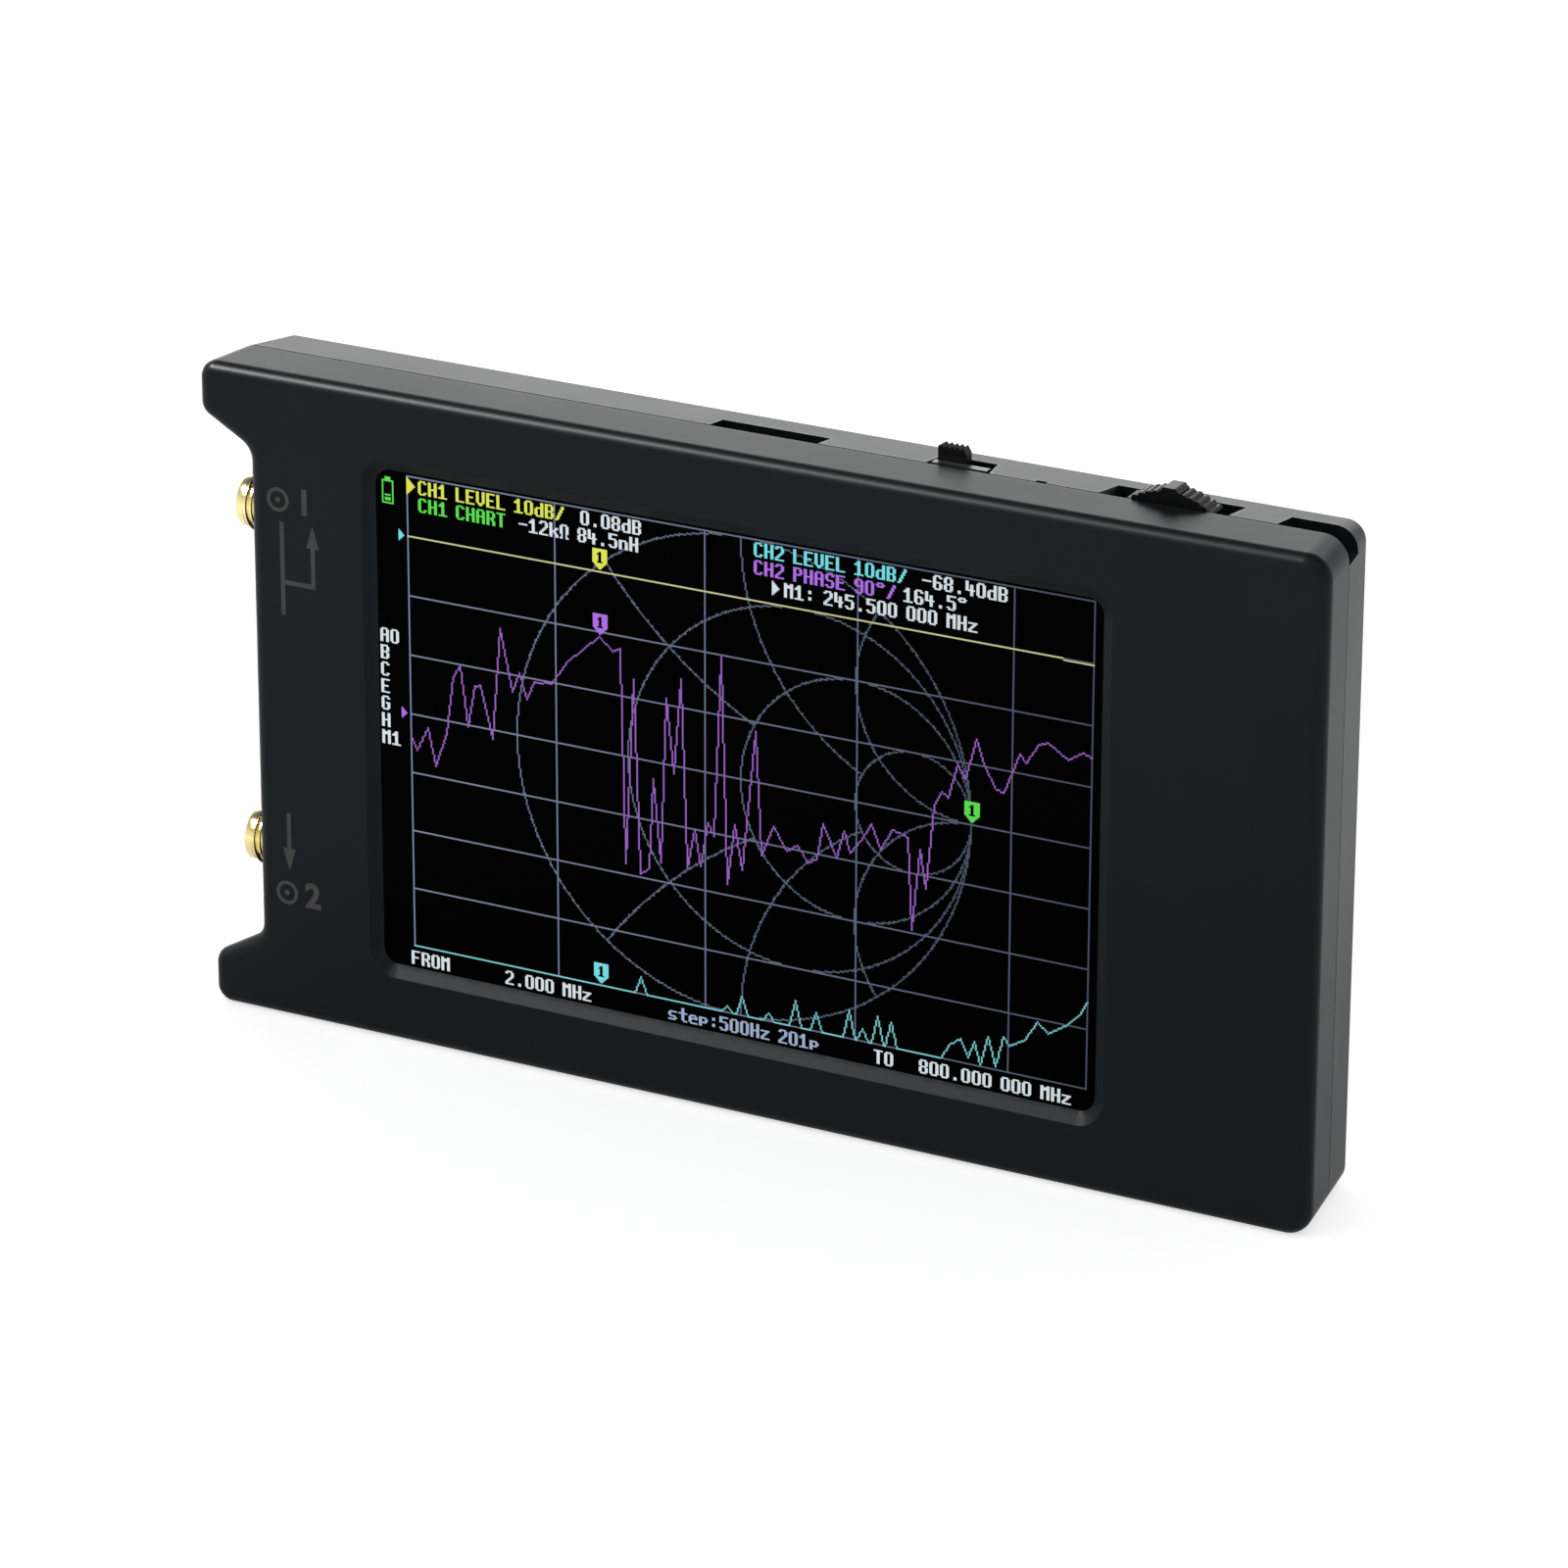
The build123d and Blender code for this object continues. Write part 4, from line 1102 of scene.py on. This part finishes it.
class Enclosure(SubAssembly):
    """The two shells and their screws, with the small print on the face."""

    looks = {Look.CASE: ("front_shell", "back_shell"), Look.SCREW: ("case_screws",)}

    def build(self) -> None:
        """Prints the port marks on the face."""
        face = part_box("front_shell")[0].y
        print_marks = FacePrint(face)
        self.add(print_marks.marks(), Look.PRINT, "case_plastic")
        for number, z in (("1", print_marks.upper_z), ("2", print_marks.lower_z)):
            self.add(print_marks.numeral(number, z), Look.PRINT, "case_plastic")


@dataclass
class FacePrint:
    """The grey print beside the ports: a jack sign and a numeral for each, and the signal arrows."""

    face: float
    proud: float = 0.02 * MM
    sunk: float = 0.02 * MM
    stroke: float = 0.5 * MM
    left_x: float = -56.4 * MM
    upper_z: float = 59.2 * MM
    lower_z: float = 14.6 * MM
    letter_height: float = 2.7 * MM
    sign_radius: float = 1.35 * MM
    line_x: float = -54.65 * MM
    line_top: float = 56.8 * MM
    line_bottom: float = 46.4 * MM
    return_x: float = -50.9 * MM
    branch_z: float = 50.1 * MM
    return_top: float = 55.2 * MM
    lower_top: float = 23.8 * MM
    lower_bottom: float = 18.9 * MM
    head_length: float = 2.52 * MM
    head_width: float = 1.55 * MM
    cap_share: float = 0.7
    boldness: float = 0.13 * MM
    numeral_gap: float = 0.9 * MM
    ring_share: float = 0.8
    dot_share: float = 0.6

    def marks(self) -> bpy.types.Object:
        """The jack signs and arrows as one piece."""
        mesh = bmesh.new()
        for z in (self.upper_z, self.lower_z):
            self._jack_sign(mesh, self.left_x + self.sign_radius, z)
        half = self.stroke / 2
        base = self.head_length / 3
        self._bar(mesh, self.line_x - half, self.line_x + half, self.line_bottom, self.line_top)
        self._bar(mesh, self.line_x + half, self.return_x - half, self.branch_z - half, self.branch_z + half)
        stem_top = self.return_top - base
        self._bar(mesh, self.return_x - half, self.return_x + half, self.branch_z - half, stem_top)
        self._head(mesh, self.return_x, self.return_top, 1)
        self._bar(mesh, self.line_x - half, self.line_x + half, self.lower_bottom + base, self.lower_top)
        self._head(mesh, self.line_x, self.lower_bottom, -1)
        bmesh.ops.recalc_face_normals(mesh, faces=mesh.faces)
        return finished("port_marks", mesh)

    def numeral(self, digit: str, z: float) -> bpy.types.Object:
        """A printed digit beside a jack sign.

        Args:
            digit: The digit.
            z: The height of its middle.

        Returns:
            The digit as a thin piece.
        """
        writing = bpy.data.curves.new(f"port_{digit}_writing", "FONT")
        writing.body = digit
        writing.size = self.letter_height / self.cap_share
        writing.offset = self.boldness
        writing.extrude = (self.proud + self.sunk) / 2
        writing.align_y = "CENTER"
        holder = placed(f"port_{digit}_holder", writing)
        bpy.context.view_layer.update()
        data = bpy.data.meshes.new_from_object(holder)
        bpy.data.objects.remove(holder)
        left = self.left_x + 2 * self.sign_radius + self.numeral_gap
        data.transform(Matrix.Translation((left, self.face, z)) @ UPRIGHT)
        return placed(f"port_{digit}_numeral", data)

    def _bar(self, mesh: bmesh.types.BMesh, left: float, right: float, low: float, high: float) -> None:
        """Adds a straight printed stroke."""
        box_in(mesh, (left, self.face - self.proud, low), (right, self.face + self.sunk, high))

    def _head(self, mesh: bmesh.types.BMesh, x: float, z: float, way: int) -> None:
        """Adds an arrow head round its middle that points up for a way of 1 and down for -1."""
        shape = Matrix.Diagonal((self.head_width / math.sqrt(3), self.head_length / 1.5, 1.0, 1.0))
        turn = Matrix.Rotation(math.radians(90 * way), 4, "X")
        self._disc(mesh, 3, 1.0, Matrix.Translation((x, self.face, z)) @ turn @ shape)

    def _disc(self, mesh: bmesh.types.BMesh, segments: int, radius: float, place: Matrix) -> None:
        """Adds a thin printed disc, or a polygon where it has few segments."""
        bmesh.ops.create_cone(
            mesh,
            cap_ends=True,
            segments=segments,
            radius1=radius,
            radius2=radius,
            depth=self.proud + self.sunk,
            matrix=place,
        )

    def _jack_sign(self, mesh: bmesh.types.BMesh, x: float, z: float) -> None:
        """Adds a ring round a dot, the sign of a coaxial jack."""
        inner = self.sign_radius - self.stroke * self.ring_share
        low = (x + inner, self.face - self.proud, z - self.proud)
        high = (x + self.sign_radius, self.face + self.sunk, z)
        section = box_in(mesh, low, high)
        side = [face for face in mesh.faces if face.verts[0] in section and face.normal.z < -0.9]
        rest = [face for face in mesh.faces if face.verts[0] in section and face not in side]
        bmesh.ops.delete(mesh, geom=rest, context="FACES")
        bmesh.ops.spin(
            mesh,
            geom=[*side, *side[0].edges, *side[0].verts],
            cent=(x, 0, z),
            axis=(0, 1, 0),
            angle=2 * math.pi,
            steps=40,
            use_merge=True,
        )
        middle = Matrix.Translation((x, self.face, z)) @ UPRIGHT
        self._disc(mesh, 24, self.stroke * self.dot_share, middle)


@dataclass
class LitPicture:
    """The display's pixels, laid on the front of the touch panel."""

    panel_front: float
    columns: int = 480
    rows: int = 320
    pitch: float = 0.174 * MM
    centre_x: float = -1.6 * MM
    centre_z: float = 36.3 * MM
    proud: float = 0.01 * MM
    flags: tuple = (
        (152, 37, Ink.YELLOW),
        (152, 78, Ink.MAGENTA),
        (151, 303, Ink.CYAN),
        (399, 151, Ink.GREEN),
    )
    graticule: Graticule = field(default_factory=Graticule)
    traces: Traces = field(default_factory=Traces)
    readouts: Readouts = field(default_factory=Readouts)

    def screen(self) -> Raster:
        """Draws the whole picture."""
        screen = Raster(self.columns, self.rows)
        self.graticule.draw(screen)
        self.traces.draw(screen, self.graticule)
        for tip_x, tip_y, ink in self.flags:
            screen.flag(tip_x, tip_y, ink)
        self.readouts.draw(screen)
        return screen

    def build(self, paintbox: Paintbox) -> bpy.types.Object:
        """Makes one small face for each lit pixel.

        Args:
            paintbox: The finishes.

        Returns:
            The picture, with one material slot per ink.
        """
        lit = self.screen().lit
        inks = list(Ink)
        width = self.columns * self.pitch
        height = self.rows * self.pitch
        centre = Vector((self.centre_x, self.panel_front - self.proud, self.centre_z))
        place = Matrix.Translation(centre) @ UPRIGHT @ Matrix.Diagonal((width, height, 1.0, 1.0))
        mesh = bmesh.new()
        bmesh.ops.create_grid(mesh, x_segments=self.columns, y_segments=self.rows, size=0.5, matrix=place)
        unlit = []
        for face in mesh.faces:
            middle = face.calc_center_median() - centre
            column = int((middle.x + width / 2) / self.pitch)
            row = int((height / 2 - middle.z) / self.pitch)
            ink = lit.get((column, row))
            if ink is None:
                unlit.append(face)
            else:
                face.material_index = inks.index(ink)
        bmesh.ops.delete(mesh, geom=unlit, context="FACES")
        picture = finished("display_picture", mesh)
        for ink in inks:
            glow = Glow(f"glow_{ink.name.lower()}", display_colour(*ink.value), ink.far_share)
            picture.data.materials.append(paintbox.material(glow))
        return picture


class DisplayStack(SubAssembly):
    """The touch panel, the lit picture, and the display module behind them."""

    looks = {
        Look.PANEL: ("touch_panel",),
        Look.CELL: ("display_cell",),
        Look.FRAME: ("display_backlight",),
        Look.TAPE: ("panel_adhesive",),
        Look.FOAM: ("display_foam",),
        Look.FLEX: ("display_flex", "touch_flex"),
    }

    def build(self) -> None:
        """Lays the lit picture on the panel."""
        picture = LitPicture(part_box("touch_panel")[0].y).build(self.paintbox)
        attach(picture, "case")
        LOG.info("DisplayStack: made %s with %d pixels", picture.name, len(picture.data.polygons))


@dataclass
class CoaxJack:
    """A gold edge-mount coaxial jack: threaded barrel, square flange and four solder legs."""

    low: Vector
    high: Vector
    lead_radius: float = 2.85 * MM
    lead_length: float = 0.9 * MM
    thread_length: float = 3.6 * MM
    shoulder_radius: float = 2.8 * MM
    bore_radius: float = 2.075 * MM
    flange_thickness: float = 1.5 * MM
    flange_offset: float = 8.1 * MM
    thread_pitch: float = 0.7056 * MM
    thread_depth: float = 0.36 * MM
    crest: float = 0.10 * MM
    rim: float = 0.14 * MM
    leg_width: float = 1.0 * MM
    front_leg_height: float = 0.36 * MM
    board_thickness: float = 1.6 * MM
    tail_thickness: float = 0.5 * MM
    back_wall: float = 0.3 * MM
    flank_gap: float = 0.02 * MM
    leg_overlap: float = 0.1 * MM
    leg_round: float = 0.06 * MM
    turn_steps: int = 64
    thread_steps: int = 40

    @property
    def radius(self) -> float:
        """Half of the thread's outer diameter."""
        return (self.high.z - self.low.z) / 2

    @property
    def axis(self) -> Vector:
        """The tip of the jack's centre line."""
        return Vector((self.low.x, (self.low.y + self.high.y) / 2, (self.low.z + self.high.z) / 2))

    def build(self, name: str) -> bpy.types.Object:
        """Makes the jack's metal body.

        Args:
            name: The piece's name.

        Returns:
            The jack.
        """
        mesh = bmesh.new()
        self._barrel(mesh)
        self._thread(mesh)
        self._flange(mesh)
        bmesh.ops.remove_doubles(mesh, verts=mesh.verts, dist=0.001 * MM)
        bmesh.ops.recalc_face_normals(mesh, faces=mesh.faces)
        self._legs(mesh)
        bmesh.ops.translate(mesh, verts=mesh.verts, vec=self.axis)
        return finished(name, mesh, smooth=True)

    def _barrel(self, mesh: bmesh.types.BMesh) -> None:
        """Turns the tube: rim, lead-in, thread core, shoulder and bore."""
        core = self.radius - self.thread_depth
        thread_start = self.lead_length
        thread_end = self.lead_length + self.thread_length
        profile = [
            (self.rim, self.bore_radius),
            (0.0, self.bore_radius + self.rim),
            (0.0, self.lead_radius - self.rim),
            (self.rim * 0.4, self.lead_radius - self.rim * 0.35),
            (self.rim, self.lead_radius),
            (thread_start, self.lead_radius),
            (thread_start, core),
            (thread_end, core),
            (thread_end, self.shoulder_radius),
            (self.flange_offset, self.shoulder_radius),
            (self.flange_offset + self.flange_thickness, self.bore_radius + self.back_wall),
            (self.flange_offset + self.flange_thickness, self.bore_radius),
        ]
        verts = [mesh.verts.new((x, 0.0, r)) for x, r in profile]
        edges = [mesh.edges.new(pair) for pair in zip(verts, [*verts[1:], verts[0]])]
        bmesh.ops.spin(
            mesh,
            geom=[*verts, *edges],
            cent=(0, 0, 0),
            axis=(1, 0, 0),
            angle=2 * math.pi,
            steps=self.turn_steps,
            use_merge=True,
        )

    def _thread(self, mesh: bmesh.types.BMesh) -> None:
        """Winds the thread's ridge round the core."""
        half_root = self.thread_pitch / 2 - self.flank_gap
        turns = (self.thread_length - 2 * half_root) / self.thread_pitch
        start = self.lead_length + half_root
        root = self.radius - self.thread_depth - self.flank_gap
        corners = [
            (start - half_root, root),
            (start - self.crest / 2, self.radius),
            (start + self.crest / 2, self.radius),
            (start + half_root, root),
        ]
        verts = [mesh.verts.new((x, 0.0, r)) for x, r in corners]
        section = mesh.faces.new(verts)
        count = round(self.thread_steps * turns)
        bmesh.ops.spin(
            mesh,
            geom=[section, *section.edges, *section.verts],
            cent=(0, 0, 0),
            axis=(1, 0, 0),
            dvec=(self.thread_pitch / self.thread_steps, 0, 0),
            angle=2 * math.pi * count / self.thread_steps,
            steps=count,
        )

    def _flange(self, mesh: bmesh.types.BMesh) -> None:
        """Makes the square flange, with a round hole for the barrel."""
        turn = Matrix.Translation((self.flange_offset, 0, 0)) @ Matrix.Rotation(math.radians(90), 4, "Y")
        circle = {"segments": self.turn_steps, "radius": self.bore_radius, "matrix": turn}
        ring = bmesh.ops.create_circle(mesh, **circle)["verts"]
        edges = list({edge for vert in ring for edge in vert.link_edges})
        wide = bmesh.ops.extrude_edge_only(mesh, edges=edges)["geom"]
        for vert in (item for item in wide if isinstance(item, bmesh.types.BMVert)):
            reach = max(abs(vert.co.y), abs(vert.co.z))
            vert.co.y *= self.radius / reach
            vert.co.z *= self.radius / reach
        front = [item for item in wide if isinstance(item, bmesh.types.BMFace)]
        back = bmesh.ops.extrude_face_region(mesh, geom=front, use_keep_orig=True)["geom"]
        moved = [item for item in back if isinstance(item, bmesh.types.BMVert)]
        bmesh.ops.translate(mesh, verts=moved, vec=(self.flange_thickness, 0, 0))

    def _legs(self, mesh: bmesh.types.BMesh) -> None:
        """Adds the solder legs that grip the board's edge."""
        start = self.flange_offset + self.flange_thickness - self.leg_overlap
        end = self.high.x - self.low.x
        back_y = -self.tail_thickness / 2
        front_y = back_y - self.board_thickness
        layers = ((back_y, back_y + self.leg_width), (front_y - self.front_leg_height, front_y))
        sides = (-self.radius, self.radius - self.leg_width)
        for low_y, high_y in layers:
            for low_z in sides:
                low = (start, low_y, low_z)
                high = (end, high_y, low_z + self.leg_width)
                verts = box_in(mesh, low, high)
                edges = list({edge for vert in verts for edge in vert.link_edges})
                bmesh.ops.bevel(
                    mesh,
                    geom=edges,
                    offset=self.leg_round,
                    affect="EDGES",
                    segments=2,
                    profile=0.5,
                    material=-1,
                )


class CoaxPorts(SubAssembly):
    """The two coaxial jacks with their insulators and centre contacts."""

    looks = {
        Look.PTFE: ("port1_insulator", "port2_insulator"),
        Look.GOLD: ("port1_contact", "port2_contact", "port1_jack", "port2_jack"),
    }

    def build(self) -> None:
        """Makes both jacks with real threads in place of the plain ones."""
        for number in (1, 2):
            node = f"port{number}_jack"
            jack = CoaxJack(*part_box(node)).build(f"threaded_jack_{number}")
            self.add(jack, Look.GOLD, "gold")
            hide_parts(node)


class Sockets(SubAssembly):
    """The charging socket and the memory card socket."""

    looks = {
        Look.PLATED: ("usb_shell", "card_socket_cover"),
        Look.MOULDING: ("usb_tongue", "card_socket_base"),
    }


class Controls(SubAssembly):
    """The power slide switch and the thumb lever."""

    looks = {
        Look.KNOB: ("power_knob", "jog_lever"),
        Look.MOULDING: ("jog_switch_body", "jog_carriage"),
        Look.SWITCH_FRAME: ("power_switch_body",),
        Look.PLATED: ("jog_dome",),
    }


class Electronics(SubAssembly):
    """The main board and what is soldered on it."""

    looks = {
        Look.BOARD: ("main_board",),
        Look.PLATED: ("shield_can_1", "shield_can_2", "reference_crystal"),
        Look.CHIP: (
            "mixer_chips", "clock_chip", "codec_chip", "microcontroller", "charger_chip", "regulator_chip",
        ),
        Look.FERRITE: ("power_inductor",),
        Look.CERAMIC: ("chip_resistors", "chip_capacitors"),
        Look.LED: ("status_leds",),
    }


class BatteryPack(SubAssembly):
    """The flat cell, its tape, leads, plug and socket."""

    looks = {
        Look.TAPE: ("battery_tape",),
        Look.FOIL: ("battery_cell",),
        Look.NYLON: ("battery_socket", "battery_plug"),
        Look.WIRE_RED: ("battery_lead_red",),
        Look.WIRE_BLACK: ("battery_lead_black",),
    }


# ---------------------------------------------------------------- studio


@dataclass
class StudioCamera:
    """The camera, given by its place and the directions of its own axes."""

    place: tuple[float, float, float] = (0.33185, -0.62704, 0.31800)
    right: tuple[float, float, float] = (0.88405, 0.46738, 0.00241)
    up: tuple[float, float, float] = (-0.17522, 0.32664, 0.92877)
    forward: tuple[float, float, float] = (-0.43330, 0.82150, -0.37066)
    sensor: float = 36.0
    lens: float = 169.24

    def build(self) -> None:
        """Makes the camera and shows the scene through it."""
        data = bpy.data.cameras.new("studio_camera")
        data.sensor_fit = "HORIZONTAL"
        data.sensor_width = self.sensor
        data.lens = self.lens
        data.clip_start = 0.01
        data.clip_end = 50.0
        camera = placed("studio_camera", data)
        axes = Matrix((self.right, self.up, tuple(-value for value in self.forward))).transposed()
        camera.matrix_world = Matrix.Translation(self.place) @ axes.to_4x4()
        bpy.context.scene.camera = camera


@dataclass
class Lamp:
    """A rectangular soft lamp that faces the analyzer."""

    name: str
    direction: tuple[float, float, float]
    distance: float
    width: float
    height: float
    radiance: float
    sheen_only: bool = False
    target: tuple[float, float, float] = (0.0, 0.0, 0.035)

    def build(self) -> None:
        """Makes the lamp; its power follows from its area and radiance."""
        data = bpy.data.lights.new(self.name, "AREA")
        data.shape = "RECTANGLE"
        data.size = self.width
        data.size_y = self.height
        data.energy = self.radiance * math.pi * self.width * self.height
        lamp = placed(self.name, data)
        way = Vector(self.direction).normalized()
        turn = way.to_track_quat("Z", "Y").to_matrix().to_4x4()
        lamp.matrix_world = Matrix.Translation(Vector(self.target) + way * self.distance) @ turn
        lamp.visible_camera = False
        lamp.visible_diffuse = not self.sheen_only


class StudioSet:
    """The floor, the surrounding light, the lamps and the camera."""

    floor_size = 12.0
    surround_top = 0.16
    surround_level = 0.95
    fill = 0.42
    lamps = (
        Lamp("back_card", (-0.45, 0.85, 0.30), 1.6, 2.0, 0.70, 2.2),
        Lamp("fillet_strip", (-0.66, -0.34, 0.75), 1.1, 0.40, 0.16, 160.0, sheen_only=True),
        Lamp("front_left_card", (-0.45, -0.62, 0.64), 1.3, 0.5, 0.5, 2.0),
        Lamp("soft_key", (0.55, -0.45, 0.95), 1.3, 0.9, 0.9, 0.9),
    )

    def __init__(self, paintbox: Paintbox) -> None:
        """Keeps the paintbox."""
        self.paintbox = paintbox

    def build(self, floor_z: float) -> None:
        """Makes the whole studio round the object.

        Args:
            floor_z: The height of the floor.
        """
        StudioCamera().build()
        self._floor(floor_z)
        self._surround()
        for lamp in self.lamps:
            lamp.build()

    def _floor(self, floor_z: float) -> None:
        """Lays the pale floor."""
        mesh = bmesh.new()
        place = Matrix.Translation((0, 0, floor_z))
        bmesh.ops.create_grid(mesh, x_segments=1, y_segments=1, size=self.floor_size / 2, matrix=place)
        floor = finished("studio_floor", mesh)
        self.paintbox.dress(floor, Look.FLOOR)
        floor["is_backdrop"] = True

    def _surround(self) -> None:
        """Lights the world: a pale background to the eye, and a plain soft fill."""
        world = bpy.data.worlds.new("studio_surround")
        world.use_nodes = True
        bpy.context.scene.world = world
        graph = Graph(world.node_tree)
        graph.tree.nodes.clear()
        way = graph.add("TexCoord").outputs["Generated"]
        height = graph.add("SeparateXYZ", {0: way}).outputs["Z"]
        level = graph.remap(height, 0.15, 0.75, self.surround_level, self.surround_top)
        tone = graph.add("CombineColor", {0: level, 1: level, 2: level}).outputs[0]
        seen = graph.add("Background", {"Color": tone, "Strength": 1.0})
        fill = graph.add("Background", {"Color": (1.0, 1.0, 1.0, 1.0), "Strength": self.fill})
        rays = graph.add("LightPath").outputs
        shown = graph.sum("MAXIMUM", rays["Is Camera Ray"], rays["Is Glossy Ray"])
        shown = graph.sum("MAXIMUM", shown, rays["Is Transmission Ray"])
        mixed = graph.add("MixShader", {0: shown, 1: fill.outputs[0], 2: seen.outputs[0]})
        output = graph.add("OutputWorld")
        graph.feed(output.inputs["Surface"], mixed.outputs[0])


SUB_ASSEMBLIES = (Enclosure, DisplayStack, CoaxPorts, Sockets, Controls, Electronics, BatteryPack)


def corners(box: tuple) -> list[list[float]]:
    """A box's two corners as plain lists."""
    return [[float(value) for value in corner] for corner in box]


def main() -> None:
    """Loads the frame, dresses every sub-assembly, and sets up the studio."""
    logging.basicConfig(level=logging.INFO, format="%(message)s")
    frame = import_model()
    cad_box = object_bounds()
    scene = bpy.context.scene
    scene.view_settings.view_transform = "Standard"
    paintbox = Paintbox()
    StudioSet(paintbox).build(cad_box[0][2])
    for kind in SUB_ASSEMBLIES:
        kind(frame["nodes"], paintbox).finish()


if __name__ == "__main__":
    main()
